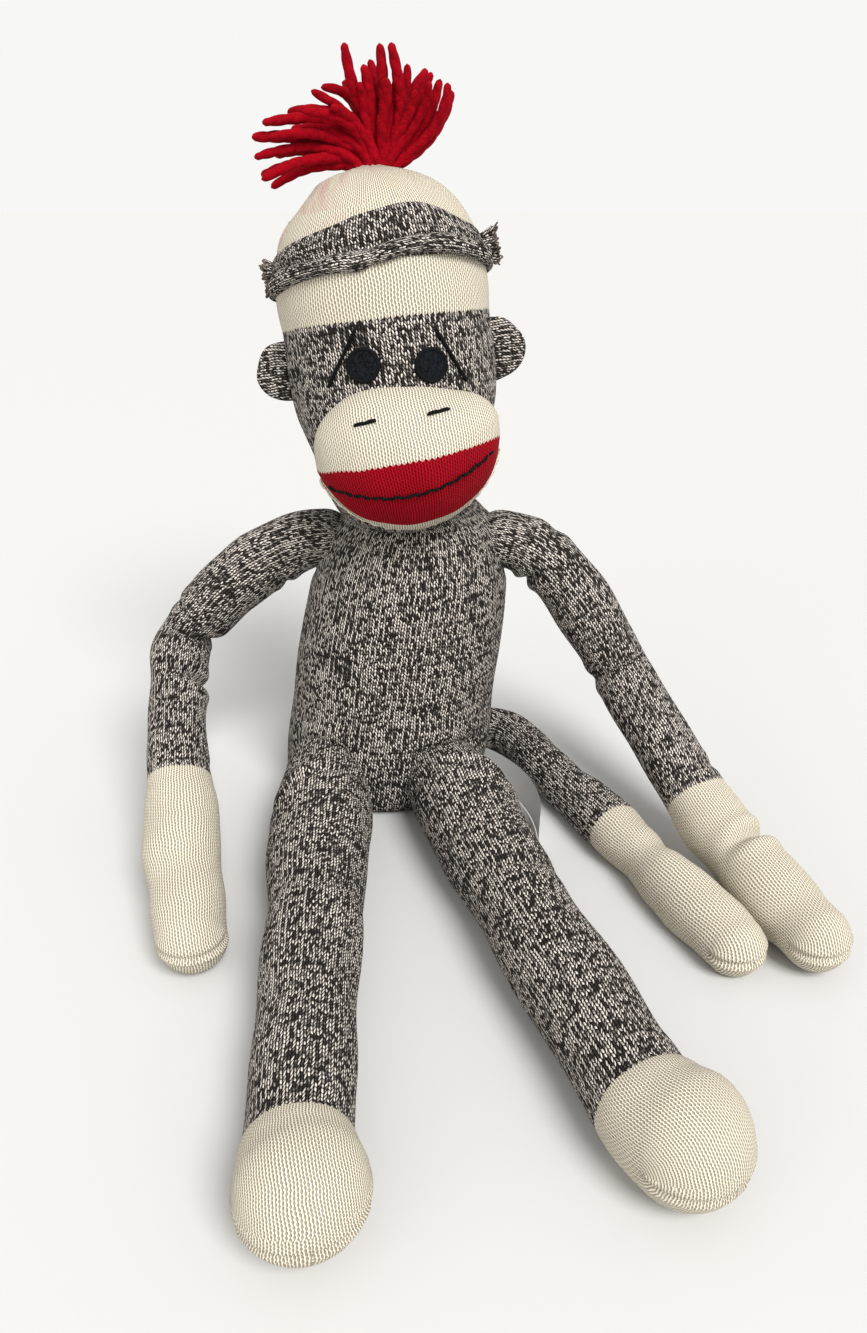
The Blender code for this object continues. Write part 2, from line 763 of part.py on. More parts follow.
def strand(number, sweep, length):
    """One strand of yarn: it leaves the knot at an angle from straight up and droops at its end."""
    lean = TASSEL_FAN * math.sin(number * TASSEL_STEP_TURN)
    outward = Vector((math.sin(sweep) * math.cos(lean), math.sin(lean), math.cos(sweep) * math.cos(lean)))
    middle = TASSEL_ROOT + outward * (length * TASSEL_MIDDLE_SHARE)
    end = TASSEL_ROOT + outward * length - UPWARD * (length * TASSEL_DROOP_SHARE)
    return Tube(bend(TASSEL_ROOT, middle, end), STRAND_GIRTH_SHARES, False, False, TASSEL_SIDES)


bm = bmesh.new()
bmesh.ops.create_uvsphere(bm, u_segments=SMALL_SIDES, v_segments=SMALL_SIDES // 2,
                          radius=TASSEL_KNOT_WIDTH / 2, matrix=Matrix.Translation(TASSEL_ROOT))
tassel = add_object("tassel", finish_mesh(bm, "tassel"))
number = 0
for first, last, length_share, strands in TASSEL_BUNDLE_SHARES:
    for k in range(strands):
        number += 1
        vary = 1 + TASSEL_VARY_SHARE * math.cos(number * TASSEL_STEP_TURN)
        lock = strand(number, mix(first, last, k / (strands - 1)), TASSEL_LENGTH * length_share * vary)
        cut(tassel, add_object(f"tassel_strand_{number}", lock.mesh("tassel_strand"), cutter=True), 'UNION')
cut(tassel, CROWN_CUTTER)
paint(tassel, "red")


# Muzzle: cream above, red lips below, and the narrow cream seam under them

LIP_BOTTOM = LIP_TOP - LIP_HEIGHT
paint(muzzle_slice("muzzle", LIP_TOP + GAP, None), "cream")
paint(muzzle_slice("lips", LIP_BOTTOM, LIP_TOP), "red")
paint(muzzle_slice("muzzle_seam", None, LIP_BOTTOM - GAP), "cream")


# Eyes, brows, nostrils and smile

def muzzle_skin(name, grow):
    return ellipsoid_mesh(name, MUZZLE_FRAME, MUZZLE_HALVES, grow)


def disc(centre_x, radius):
    points = []
    for k in range(BALL_SIDES):
        angle = math.tau * k / BALL_SIDES
        points.append((centre_x + radius * math.cos(angle), radius * math.sin(angle)))
    return points


EYE_FRAME = HEAD_FRAME @ Matrix.Translation(UPWARD * EYE_UP) @ Matrix.Rotation(EYE_ROLL, 4, 'Y')
for word, side in (("left", -1), ("right", 1)):
    eye_x = side * EYE_SPACING / 2
    eye = disc(eye_x, EYE_DIAMETER / 2)
    stamp(f"eye_{word}", eye, EYE_FRAME, HEAD_DEPTH, face_mesh, FELT_THICKNESS, "black")
    top_x = eye_x + side * BROW_INNER
    low_x = eye_x + side * BROW_OUTER
    middle_x = (top_x + low_x) / 2 - side * THREAD_WIDTH
    middle_z = (BROW_ABOVE - BROW_BELOW) / 2 + THREAD_WIDTH
    brow = ribbon([(top_x, BROW_ABOVE), (middle_x, middle_z), (low_x, -BROW_BELOW)], THREAD_WIDTH)
    stamp(f"brow_{word}", brow, EYE_FRAME, HEAD_DEPTH, face_mesh, THREAD_RISE, "black")
    nostril_x = side * NOSTRIL_SPACING / 2
    reach = NOSTRIL_LENGTH / 2
    nostril = ribbon([(nostril_x - reach, NOSTRIL_UP), (nostril_x + reach, NOSTRIL_UP)], THREAD_WIDTH)
    stamp(f"nostril_{word}", nostril, MUZZLE_FRAME, MUZZLE_DEPTH, muzzle_skin, THREAD_RISE, "black")

smile = []
for k in range(SMILE_POINTS):
    across = mix(-1, 1, k / (SMILE_POINTS - 1))
    smile.append((across * SMILE_WIDTH / 2, -SMILE_DROP - SMILE_SAG * (1 - across * across)))
stamp("smile", ribbon(smile, THREAD_WIDTH), MUZZLE_FRAME, MUZZLE_DEPTH, muzzle_skin, THREAD_RISE, "black")


# Joints: every moving piece gets its origin on its joint's line

def hang(built, name, place, axis):
    """Move the origins of a joint's pieces to the joint and print where it is."""
    for piece in built:
        piece.data.transform(Matrix.Translation(-place))
        piece.location = place
    print("joint", name, [round(value, 5) for value in place], [round(value, 5) for value in axis])


# Arms: each leaves the shoulder sideways, bows down to the elbow and lies forward

def arm_links(side, splays, height_shares, level_share):
    """Upper arm, forearm and hand, which comes down to the floor within its first part."""
    upper_splay, lower_splay, hand_splay = splays
    elbow_share, wrist_share = height_shares
    wide, deep = torso_half_sizes(SHOULDER_HEIGHT / TORSO_HEIGHT)
    root = torso_centre(SHOULDER_HEIGHT) + RIGHTWARD * (side * (wide - SHOULDER_SINK))
    elbow = link_end(root, UPPER_ARM_LENGTH, upper_splay, side, root.z * elbow_share)
    wrist = link_end(elbow, FOREARM_LENGTH, lower_splay, side, root.z * wrist_share)
    outward = root + RIGHTWARD * (side * UPPER_ARM_LENGTH * level_share)
    upper_girths = with_lip(UPPER_ARM_GIRTH_SHARES, ELBOW_DIAMETER, UPPER_ARM_LENGTH)
    upper = Tube(bend(root, outward, elbow), upper_girths, True, False)
    lower = Tube(straight(elbow, wrist), FOREARM_GIRTH_SHARES, True, False)
    ahead = (wrist - elbow).normalized()
    start = wrist + ahead * GAP
    palm = start + ahead * (HAND_LENGTH * HAND_BEND_SHARE)
    fingers_length = HAND_LENGTH * (1 - HAND_BEND_SHARE) - HAND_TIP_DIAMETER / 2
    tip = link_end(palm, fingers_length, hand_splay, side, HAND_TIP_DIAMETER / 2 - FLOOR_CUT)
    hand = Tube(bend(start, palm, tip), HAND_GIRTH_SHARES, False, True)
    return upper, lower, hand


def build_arm(word, side, upper, lower, hand, elbow_axis, elbow_range):
    root = upper.path(0)
    elbow = lower.path(0)
    shoulder_room = swing_room(f"shoulder_room_{word}", root, RIGHTWARD * side, upper, SHOULDER_DISH_SLANT)
    cut(torso, shoulder_room)
    cut(face, shoulder_room)
    upper_arm = paint(add_object(f"upper_arm_{word}", upper.mesh("upper_arm")), "marl")
    cut(upper_arm, fold_room(f"elbow_room_{word}", elbow, elbow_axis, lower, elbow_range))
    forearm = paint(add_object(f"forearm_{word}", lower.mesh("forearm", floor=True)), "marl")
    mitten = paint(add_object(f"hand_{word}", hand.mesh("hand", floor=True)), "cream")
    hang([upper_arm], f"shoulder_{word}", root, -RIGHTWARD)
    hang([forearm, mitten], f"elbow_{word}", elbow, elbow_axis)


links = arm_links(-1, LEFT_ARM_SPLAYS, LEFT_ARM_HEIGHT_SHARES, LEFT_ARM_LEVEL_SHARE)
left_elbow_axis = links[0].direction(1).cross(links[1].direction(0)).normalized()
build_arm("left", -1, *links, left_elbow_axis, LEFT_ELBOW_RANGE)
links = arm_links(1, RIGHT_ARM_SPLAYS, RIGHT_ARM_HEIGHT_SHARES, RIGHT_ARM_LEVEL_SHARE)
right_elbow_axis = links[1].direction(0).cross(UPWARD).normalized()
build_arm("right", 1, *links, right_elbow_axis, RIGHT_ELBOW_RANGE)


# Legs: each leaves the front of the seat and lies forward on the floor

def build_leg(word, side, forward, splays, shin_length):
    thigh_splay, shin_splay, foot_splay = splays
    foot_length = LEG_LENGTH - THIGH_LENGTH - shin_length
    centre = torso_centre(HIP_DIAMETER / 2 - FLOOR_CUT)
    hip = centre + Vector((side * HIP_SPACING / 2, -forward, 0))
    knee = link_end(hip, THIGH_LENGTH, thigh_splay, side, KNEE_DIAMETER / 2 - FLOOR_CUT)
    ankle = link_end(knee, shin_length, shin_splay, side, ANKLE_DIAMETER / 2 - FLOOR_CUT)
    ahead = (ankle - knee).normalized()
    start = ankle + ahead * GAP
    toe = link_end(start, foot_length - FOOT_DIAMETER / 2, foot_splay, side, FOOT_DIAMETER / 2 - FLOOR_CUT)
    thigh_girths = with_lip(THIGH_GIRTH_SHARES, KNEE_DIAMETER, THIGH_LENGTH)
    thigh_tube = Tube(straight(hip, knee), thigh_girths, True, False)
    shin_tube = Tube(straight(knee, ankle), SHIN_GIRTH_SHARES, True, False)
    foot_path = bend(start, start + ahead * ((toe - start).length / 2), toe)
    foot_tube = Tube(foot_path, FOOT_GIRTH_SHARES, False, True)
    hip_axis = UPWARD.cross(heading(thigh_splay * FOLD_SPLAY_SHARE, side))
    knee_axis = UPWARD.cross(heading(shin_splay * FOLD_SPLAY_SHARE, side))
    cut(torso, fold_room(f"hip_room_{word}", hip, hip_axis, thigh_tube, HIP_RANGE))
    thigh = paint(add_object(f"thigh_{word}", thigh_tube.mesh("thigh", floor=True)), "marl")
    cut(thigh, fold_room(f"knee_room_{word}", knee, knee_axis, shin_tube, KNEE_RANGE))
    shin = paint(add_object(f"shin_{word}", shin_tube.mesh("shin", floor=True)), "marl")
    foot = paint(add_object(f"foot_{word}", foot_tube.mesh("foot", floor=True)), "cream")
    hang([thigh], f"hip_{word}", hip, hip_axis)
    hang([shin, foot], f"knee_{word}", knee, knee_axis)


build_leg("left", -1, LEFT_HIP_FORWARD, LEFT_LEG_SPLAYS, LEFT_SHIN_LENGTH)
build_leg("right", 1, RIGHT_HIP_FORWARD, RIGHT_LEG_SPLAYS, RIGHT_SHIN_LENGTH)


# Tail: a short run out of the back of the seat, a bend forward and a long run along the floor

TAIL_ROOT_HEIGHT = TAIL_DIAMETER / 2 - FLOOR_CUT
TAIL_BACK = torso_half_sizes(TAIL_ROOT_HEIGHT / TORSO_HEIGHT)[1] - TAIL_ROOT_SINK
TAIL_ROOT = torso_centre(TAIL_ROOT_HEIGHT) + Vector((TAIL_ROOT_OUT, TAIL_BACK, 0))
TAIL_ARC = TAIL_BEND_RADIUS * (math.pi / 2 - TAIL_SPLAY)


def tail_place(run):
    """The place at a distance along the tail."""
    place = TAIL_ROOT + RIGHTWARD * min(run, TAIL_ROOT_RUN)
    run -= TAIL_ROOT_RUN
    if run <= 0:
        return place
    bent = min(run, TAIL_ARC) / TAIL_BEND_RADIUS
    place = place + Vector((math.sin(bent), math.cos(bent) - 1, 0)) * TAIL_BEND_RADIUS
    run -= TAIL_ARC
    if run <= 0:
        return place
    return place + heading(TAIL_SPLAY, 1) * run


def tail_stretch(start, length):
    return lambda share: tail_place(start + length * share)


marl_run = TAIL_ROOT_RUN + TAIL_ARC + TAIL_MARL_RUN
tip_run = TAIL_TIP_LENGTH - TAIL_TIP_DIAMETER / 2
tail_tube = Tube(tail_stretch(0, marl_run), TAIL_GIRTH_SHARES, True, False, SMALL_SIDES)
tip_tube = Tube(tail_stretch(marl_run + GAP, tip_run), TAIL_TIP_GIRTH_SHARES, False, True, SMALL_SIDES)
cut(torso, swing_room("tail_room", TAIL_ROOT, RIGHTWARD, tail_tube))
tail = paint(add_object("tail", tail_tube.mesh("tail", floor=True)), "marl")
tail_tip = paint(add_object("tail_tip", tip_tube.mesh("tail_tip", floor=True)), "cream")
hang([tail, tail_tip], "tail_root", TAIL_ROOT, RIGHTWARD)


# Label: a blank strip on edge that leaves the side seam and curls forward

def label_mesh():
    wide, deep = torso_half_sizes(LABEL_WIDTH / 2 / TORSO_HEIGHT)
    place = torso_centre(LABEL_WIDTH / 2) + Vector((wide, -LABEL_BACK, 0))
    points = []
    for k in range(LABEL_POINTS):
        splay = mix(LABEL_START_SPLAY, LABEL_END_SPLAY, k / (LABEL_POINTS - 1))
        points.append((place.x, place.y))
        place = place + heading(splay, 1) * (LABEL_LENGTH / (LABEL_POINTS - 1))
    outline = ribbon(points, LABEL_THICKNESS)
    bm = bmesh.new()
    low = [bm.verts.new((x, y, FLOOR_CUT)) for x, y in outline]
    high = [bm.verts.new((x, y, FLOOR_CUT + LABEL_WIDTH)) for x, y in outline]
    bm.faces.new(low)
    bm.faces.new(high[::-1])
    for k in range(len(outline)):
        after = (k + 1) % len(outline)
        bm.faces.new((low[k], high[k], high[after], low[after]))
    return finish_mesh(bm, "label")


label = paint(add_object("label", label_mesh()), "white", SATIN_ROUGHNESS)
cut(label, add_object("label_seat_cutter", torso_mesh("label_seat_cutter", GAP), cutter=True))

# The head and all that is sewn to it turn about the neck
head_pieces = ["head", "forehead_band", "hat_crown", "hat_brim", "brim_tab_left", "brim_tab_right", "tassel",
               "ear_left", "ear_right", "muzzle", "lips", "muzzle_seam", "eye_left", "eye_right", "brow_left",
               "brow_right", "nostril_left", "nostril_right", "smile"]
hang([bpy.data.objects[name] for name in head_pieces], "neck", NECK_PIVOT, NECK_AXIS)
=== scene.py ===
import json
import math

import bpy
import numpy as np
from mathutils import Matrix, Vector


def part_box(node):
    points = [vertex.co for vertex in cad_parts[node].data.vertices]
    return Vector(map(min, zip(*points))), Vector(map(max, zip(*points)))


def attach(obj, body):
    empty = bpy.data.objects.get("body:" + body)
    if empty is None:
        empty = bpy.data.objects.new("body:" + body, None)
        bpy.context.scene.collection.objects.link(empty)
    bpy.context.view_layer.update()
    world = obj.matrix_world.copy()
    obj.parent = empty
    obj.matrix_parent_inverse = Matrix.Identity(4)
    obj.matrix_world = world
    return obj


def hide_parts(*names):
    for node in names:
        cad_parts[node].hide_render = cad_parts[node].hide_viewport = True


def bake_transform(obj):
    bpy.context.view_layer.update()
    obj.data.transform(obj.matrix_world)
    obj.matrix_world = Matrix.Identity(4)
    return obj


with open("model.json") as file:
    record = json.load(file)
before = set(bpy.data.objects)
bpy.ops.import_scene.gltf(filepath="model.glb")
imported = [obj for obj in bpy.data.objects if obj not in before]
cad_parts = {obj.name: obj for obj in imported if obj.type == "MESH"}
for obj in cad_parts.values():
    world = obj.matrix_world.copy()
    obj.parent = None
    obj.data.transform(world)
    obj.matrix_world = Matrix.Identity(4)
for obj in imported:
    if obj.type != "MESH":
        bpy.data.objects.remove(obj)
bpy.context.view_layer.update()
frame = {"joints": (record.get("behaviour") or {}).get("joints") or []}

JOINT = {j["name"]: np.array(Vector(j["pos_m"])) for j in frame["joints"]}
MM = 0.001


def add_object(name, data):
    built = bpy.data.objects.new(name, data)
    bpy.context.scene.collection.objects.link(built)
    return built


# Camera, matched to the photo
SENSOR = 36
PHOTO_HEIGHT = 1333
FOCAL_PIXELS = 1001
# how far below the photo's middle upright lines would meet
UPRIGHTS_MEET = 1950
camera_data = bpy.data.cameras.new("camera")
camera_data.sensor_fit = 'VERTICAL'
camera_data.sensor_height = SENSOR
camera_data.lens = SENSOR * FOCAL_PIXELS / PHOTO_HEIGHT
camera_data.clip_start = 0.01
camera_data.clip_end = 20
camera = add_object("camera", camera_data)
camera.location = (0.028, -0.4675, 0.310)
camera.rotation_euler = (math.pi / 2 - math.atan2(FOCAL_PIXELS, UPRIGHTS_MEET), 0, 0)
bpy.context.scene.camera = camera


# Node helpers
class Signal:
    """A value in a node tree. Arithmetic with it adds math nodes."""

    def __init__(self, net, socket):
        self.net = net
        self.socket = socket

    def __add__(self, other):
        return self.net.math('ADD', self, other)

    def __sub__(self, other):
        return self.net.math('SUBTRACT', self, other)

    def __rsub__(self, other):
        return self.net.math('SUBTRACT', other, self)

    def __mul__(self, other):
        return self.net.math('MULTIPLY', self, other)


class Net:
    """Short calls for building a node tree."""

    def __init__(self, tree):
        self.tree = tree

    def put(self, socket, value):
        if isinstance(value, Signal):
            self.tree.links.new(value.socket, socket)
        else:
            socket.default_value = value

    def new(self, kind, given=(), **settings):
        """A node. given holds its inputs, in order or by name."""
        node = self.tree.nodes.new(kind)
        for name, value in settings.items():
            setattr(node, name, value)
        for key, value in given.items() if isinstance(given, dict) else enumerate(given):
            self.put(node.inputs[key], value)
        return node

    def read(self, kind, given=(), output=0, **settings):
        return Signal(self, self.new(kind, given, **settings).outputs[output])

    def math(self, operation, *values, clamp=False):
        return self.read("ShaderNodeMath", values, operation=operation, use_clamp=clamp)

    def sine(self, turns):
        return self.math('SINE', turns * math.tau)

    def join(self, x, y, z=0.0):
        return self.read("ShaderNodeCombineXYZ", (x, y, z))

    def split(self, vector):
        return [Signal(self, socket) for socket in self.new("ShaderNodeSeparateXYZ", (vector,)).outputs]

    def stitch_map(self):
        return self.split(self.read("ShaderNodeUVMap", uv_map="knit"))[:2]

    def place(self):
        return self.read("ShaderNodeTexCoord", output="Object")

    def noise(self, vector, scale=1.0, detail=2.0, rough=0.5):
        given = {"Vector": vector, "Scale": scale, "Detail": detail, "Roughness": rough}
        return self.read("ShaderNodeTexNoise", given, "Fac")

    def ramp(self, value, low, high, out_low=0.0, out_high=1.0):
        given = (value, low, high, out_low, out_high)
        return self.read("ShaderNodeMapRange", given, interpolation_type='SMOOTHSTEP')

    def mix(self, factor, a, b, blend='MIX'):
        return self.read("ShaderNodeMix", {0: factor, 6: a, 7: b}, 2, data_type='RGBA', blend_type=blend)


STITCH_PARTS = ("Height", "Stroke", "Row", "Light", "Fibre")


def knit_group():
    """Stockinette read from a UV map in stitches: one V to each wale and course, each leg its own yarn.

    Skew leans the left legs over and stands the right ones up, as the twist of a single yarn does.
    """
    tree = bpy.data.node_groups.new("stockinette", "ShaderNodeTree")
    tree.interface.new_socket("Skew", in_out='INPUT', socket_type='NodeSocketFloat')
    for name in STITCH_PARTS:
        tree.interface.new_socket(name, in_out='OUTPUT', socket_type='NodeSocketFloat')
    net = Net(tree)
    skew = net.read("NodeGroupInput", output="Skew")
    u, v = net.stitch_map()
    # the wales and courses wander a little
    u = u + (net.noise(net.join(u, v), 0.21) * 0.7 - 0.35)
    v = v + (net.noise(net.join(u + 40.0, v), 0.16) * 1.4 - 0.7)
    halves = u * 2.0
    column = net.math('FLOOR', halves)
    part = net.math('FRACT', halves)
    odd = net.math('FLOORED_MODULO', column, 2.0)
    mirrored = 1.0 - part
    # 0 at the middle of the wale, 1 at its edge
    across = odd * (part - mirrored) + mirrored
    upright = odd * skew
    along = across * (skew * -0.45 - 0.70 + upright * 0.85) + v
    row = net.math('FLOOR', along)
    bulge = net.sine(net.math('FRACT', along) * 0.5)
    marled = (net.math('POWER', bulge, upright * -0.35 + 0.85)
              * net.math('POWER', net.sine(across * 0.5), upright * 0.4 + (skew * 0.45 + 0.45)))
    # a plain yarn shows slit-shaped gaps: one inside each V and, half a course on, one outside it
    inner = (net.math('FRACT', v) - 0.5) * 1.7
    outer = 0.85 - net.math('ABSOLUTE', inner)
    gap = net.math('MINIMUM', inner * inner + across * 2.5, outer * outer + (2.5 - across * 2.5))
    plain = net.ramp(gap, 0.35, 1.05)
    height = skew * (marled - plain) + plain
    # the light ply comes and goes along each course, in runs that reach over a few courses
    patch = net.noise(net.join(u * 0.10, v * 0.80), rough=0.6)
    broad = net.noise(net.join(u * 0.035, v * 0.16), detail=1.0)
    turn_at = net.noise(net.join(column * 0.07, row * 5.37), detail=1.0)
    twist = net.sine(turn_at * 4.0 + column * 0.36)
    leg = {"Vector": net.join(column, row, 3.0)}
    jitter = net.read("ShaderNodeTexWhiteNoise", leg, "Value", noise_dimensions='3D')
    tone = twist * 0.05 + jitter * 0.46 + broad * 0.10 + odd * -0.10 + patch * 0.62 - 0.03
    light = net.ramp(tone, 0.335, 0.68, 0.03, 1.0)
    fibre = net.noise(net.join(u * 9.0, along * 2.2), rough=0.7)
    # Height is the knit's relief and also where the cream and the red get painted shade; Stroke, read off it,
    # is where the marl shows its light ply, with painted shade in the gaps
    net.new("NodeGroupOutput", (height, net.ramp(height, 0.24, 0.70), row, light, fibre))
    return tree


STOCKINETTE = knit_group()
# each yarn's two colours: for the marl its dark and its light ply; for the cream and the red the first is
# painted shade for the gaps between stitches and the second the yarn's own colour
YARN_COLOURS_AND_GAP_SHADE = {
    "marl": ((0.010, 0.0075, 0.007, 1), (0.88, 0.80, 0.72, 1)),
    "cream": ((0.30, 0.255, 0.175, 1), (0.80, 0.735, 0.605, 1)),
    "red": ((0.09, 0.001, 0.003, 1), (0.40, 0.0015, 0.011, 1)),
}


def new_material(name, paint, settings, strength=0.0, distance=0.0):
    """A material. paint gets its net and returns colour, roughness and relief."""
    material = bpy.data.materials.new(name)
    material.use_nodes = True
    net = Net(material.node_tree)
    inputs = material.node_tree.nodes["Principled BSDF"].inputs
    colour, roughness, relief = paint(net)
    for key, value in {"Base Color": colour, "Roughness": roughness, **settings}.items():
        net.put(inputs[key], value)
    if relief is not None:
        bump = {"Strength": strength, "Distance": distance, "Height": relief}
        net.put(inputs["Normal"], net.read("ShaderNodeBump", bump))
    return material


def fabric(sheen, sheen_roughness=0.5):
    return {"Specular IOR Level": 0.06, "Sheen Weight": sheen, "Sheen Roughness": sheen_roughness}


def yarn(net, kind):
    """One yarn knitted up: its colour, with painted shade in the gaps between stitches, its relief, course and
    fibre.
    """
    node = net.new("ShaderNodeGroup", node_tree=STOCKINETTE)
    node.inputs["Skew"].default_value = 1.0 if kind == "marl" else 0.0
    height, stroke, row, light, fibre = (Signal(net, node.outputs[part]) for part in STITCH_PARTS)
    if kind == "marl":
        # the marl's light ply shows only on the crown of each leg; the gaps get the dark ply's colour, which
        # there is also painted shade
        factor = net.math('MULTIPLY', light * stroke, fibre * 0.5 + 0.74, clamp=True)
    else:
        # the cream and the red are painted darker where the knit's relief is low: painted shade in the gaps
        # between stitches
        factor = net.math('ADD', fibre * 0.30 - 0.15, height * 0.85 + 0.12, clamp=True)
    return net.mix(factor, *YARN_COLOURS_AND_GAP_SHADE[kind]), fibre * 0.22 + height, row, fibre


def knit(name, low, high=None, first_row=0, stained=False):
    """A knit material of one yarn, or of a second yarn from its first course up."""
    def paint(net):
        colour, relief, row, fibre = yarn(net, low)
        if high:
            upper, raised, row, fibre = yarn(net, high)
            over = net.math('GREATER_THAN', row, first_row - 0.5)
            colour = net.mix(over, colour, upper)
            relief = over * (raised - relief) + relief
        place = net.place()
        if low == "cream":
            tint = net.ramp(net.noise(place, 32.0, 3.0, 0.6), 0.3, 0.75)
            colour = net.mix(tint * 0.30, colour, net.mix(1.0, colour, (1.0, 0.93, 0.78, 1), 'MULTIPLY'))
        if stained:
            x, y, z = net.split(place)
            streaks = net.noise(net.join(x * 6.0, y, z * 0.6), 42.0, 3.0, 0.6)
            amount = net.ramp(z * 0.5 - x, 0.135, 0.175) * net.ramp(streaks, 0.42, 0.72)
            colour = net.mix(amount * 0.42, colour, (0.62, 0.22, 0.26, 1))
        return colour, fibre * 0.16 + 0.80, relief
    return new_material(name, paint, fabric(0.01, 0.45), 0.9, 0.0011)


def thread(name, colour, length_scale, roughness, depth):
    """Twisted thread or yarn, read from a UV map: u round it, v along it."""
    def paint(net):
        u, v = net.stitch_map()
        hairs = net.noise(net.join((v * length_scale + u * 5.0) * 2.0, v * 0.35), 1.6, 3.0, 0.7)
        cloud = net.noise(net.place(), 140.0, 3.0, 0.6)
        dark = (*(c * 0.45 for c in colour), 1)
        bright = (*(min(c * 1.25, 1) for c in colour), 1)
        mixed = net.mix(net.ramp(hairs, 0.3, 0.68), dark, bright)
        mixed = net.mix(net.ramp(cloud, 0.35, 0.7, 0.0, 0.35), mixed, dark)
        return mixed, hairs * 0.2 + (roughness - 0.1), hairs
    return new_material(name, paint, fabric(0.005, 0.4), depth, 0.0006)


# Curves
def table_curve(xs, ys, x):
    """A smooth curve through a table (Catmull-Rom slopes)."""
    xs, ys = np.asarray(xs, float), np.asarray(ys, float)
    slope = np.gradient(ys, xs)
    k = np.clip(np.searchsorted(xs, x, side='right') - 1, 0, len(xs) - 2)
    step = xs[k + 1] - xs[k]
    t = np.clip((x - xs[k]) / step, 0, 1)
    return ((2 * t**3 - 3 * t**2 + 1) * ys[k] + (t**3 - 2 * t**2 + t) * step * slope[k]
            + (-2 * t**3 + 3 * t**2) * ys[k + 1] + (t**3 - t**2) * step * slope[k + 1])


def unit(v):
    return v / np.maximum(np.linalg.norm(v, axis=-1, keepdims=True), 1e-12)


def turns_of(count, start=math.pi / 2):
    """Angles round a full turn."""
    return start + np.arange(count) * math.tau / count


def wales_over(columns, wales):
    """The stitch map's u for each edge between the columns of a closed skin."""
    return np.arange(columns + 1) / columns * wales


def run_of(path):
    """Distance along a line of points."""
    return np.concatenate([[0], np.cumsum(np.linalg.norm(np.diff(path, axis=0), axis=1))])


def follow(table, count, weights=1):
    """A table's columns read smoothly at equal steps along it, and those steps.

    weights say how much each column counts towards the length.
    """
    table = np.array(table)
    run = run_of(table * weights)
    at = np.linspace(0, run[-1], count)
    return [table_curve(run, table[:, k], at) for k in range(table.shape[1])], at


def resample(path, step):
    run = run_of(path)
    at = np.linspace(0, run[-1], max(int(round(run[-1] / step)), 2) + 1)
    return np.stack([np.interp(at, run, path[:, k]) for k in range(3)], -1), at


def soften(path, width):
    """Round the corners of a line of points without moving its ends."""
    kernel = np.ones(width) / width
    for _ in range(3):
        before = 2 * path[:1] - path[1:width][::-1]
        after = 2 * path[-1:] - path[-width:-1][::-1]
        padded = np.concatenate([before, path, after])
        smooth = np.stack([np.convolve(padded[:, k], kernel, 'same') for k in range(3)], -1)
        path = smooth[width - 1:-(width - 1)]
    return path


def bezier(a, b, c, n=40):
    t = np.linspace(0, 1, n)[:, None]
    return (1 - t) ** 2 * np.array(a) + 2 * t * (1 - t) * np.array(b) + t * t * np.array(c)


def frames_along(path, side):
    """Tangent and two cross lines at each point; side is the first cross line, carried along without twist."""
    tangent = unit(np.gradient(path, axis=0))
    across = np.zeros_like(path)
    line = np.array(side, float)
    for k, t in enumerate(tangent):
        line = unit(line - t * (line @ t))
        across[k] = line
    return tangent, across, np.cross(across, tangent)


def rings_of(across, through, angle):
    """For each place along a path, the outward lines at each angle round it."""
    return across[:, None] * np.cos(angle)[:, None] + through[:, None] * np.sin(angle)[:, None]


def heading(splay, side):
    return np.array((side * math.sin(splay), -math.cos(splay), 0.0))


def link_end(start, length, splay, side, height):
    drop = start[2] - height
    return start + heading(splay, side) * math.sqrt(length * length - drop * drop) - np.array((0, 0, drop))


# Softness of stuffed forms
def lumps(points, size, amount, seed):
    """Soft unevenness, as a height for each point."""
    rng = np.random.default_rng(seed)
    total = np.zeros(points.shape[:-1])
    for _ in range(7):
        line = rng.normal(size=3)
        line *= math.tau / (size * rng.uniform(0.7, 1.6)) / np.linalg.norm(line)
        total += np.sin(points @ line + rng.uniform(0, math.tau))
    return total * amount / 2.6


def bell(t):
    return np.exp(-t * t)


def fold(t, puff, ridge, spread):
    """The profile of a fold: a dip with a soft ridge on each side of it."""
    return bell(t) - puff * bell((np.abs(t) - ridge) / spread)


def furrow(points, radial, a, b, depth, width):
    """A crease in a skin along the line between two places on it."""
    a, b = np.array(a), np.array(b)
    line = b - a
    t = np.clip(((points - a) @ line) / (line @ line), 0, 1)
    away = np.linalg.norm(points - (a + t[..., None] * line), axis=-1) / width
    dip = fold(away, 0.35, 2.2, 1.1) * np.sin(math.pi * (0.1 + 0.8 * t))
    return points - radial * (depth * dip)[..., None]


def crease(run_at, toward, depth, width, slant=None, grip=1.5, puff=0.45):
    """A fold across a limb on the side that faces a direction, with a soft swelling to each side of it."""
    toward = unit(np.array(toward, float))

    def effect(points, radial, run, radius):
        centre = run_at if slant is None else run_at + slant * radial[..., 0]
        t = (run[:, None] - centre) / width
        share = np.clip((radial @ toward + 0.25) / 1.25, 0, 1) ** grip
        dip = depth * share * fold(t, puff, 2.1, 1.1)
        return points - radial * (dip * np.minimum(radius / 0.01, 1)[:, None])[..., None]
    return effect


def uneven(size, amount, seed):
    def effect(points, radial, run, radius):
        height = lumps(points, size, amount, seed) * np.minimum(radius / 0.01, 1)[:, None]
        return points + radial * height[..., None]
    return effect


def settle(points, floor=0.0004, spread=0.0035):
    """What would be below the floor is pressed up to it, and what is just above it comes down softly."""
    over = np.maximum(points[..., 2] - floor, 0)
    points[..., 2] = floor + np.where(over < spread, over**2 / spread * 0.55 + over * 0.45, over)
    return points


# Meshes
def new_mesh(name, verts, faces, maps):
    mesh = bpy.data.meshes.new(name)
    mesh.from_pydata(verts, [], faces)
    layer = mesh.uv_layers.new(name="knit")
    layer.data.foreach_set("uv", np.asarray(maps, np.float32).ravel())
    mesh.update()
    mesh.shade_smooth()
    return add_object(name, mesh)


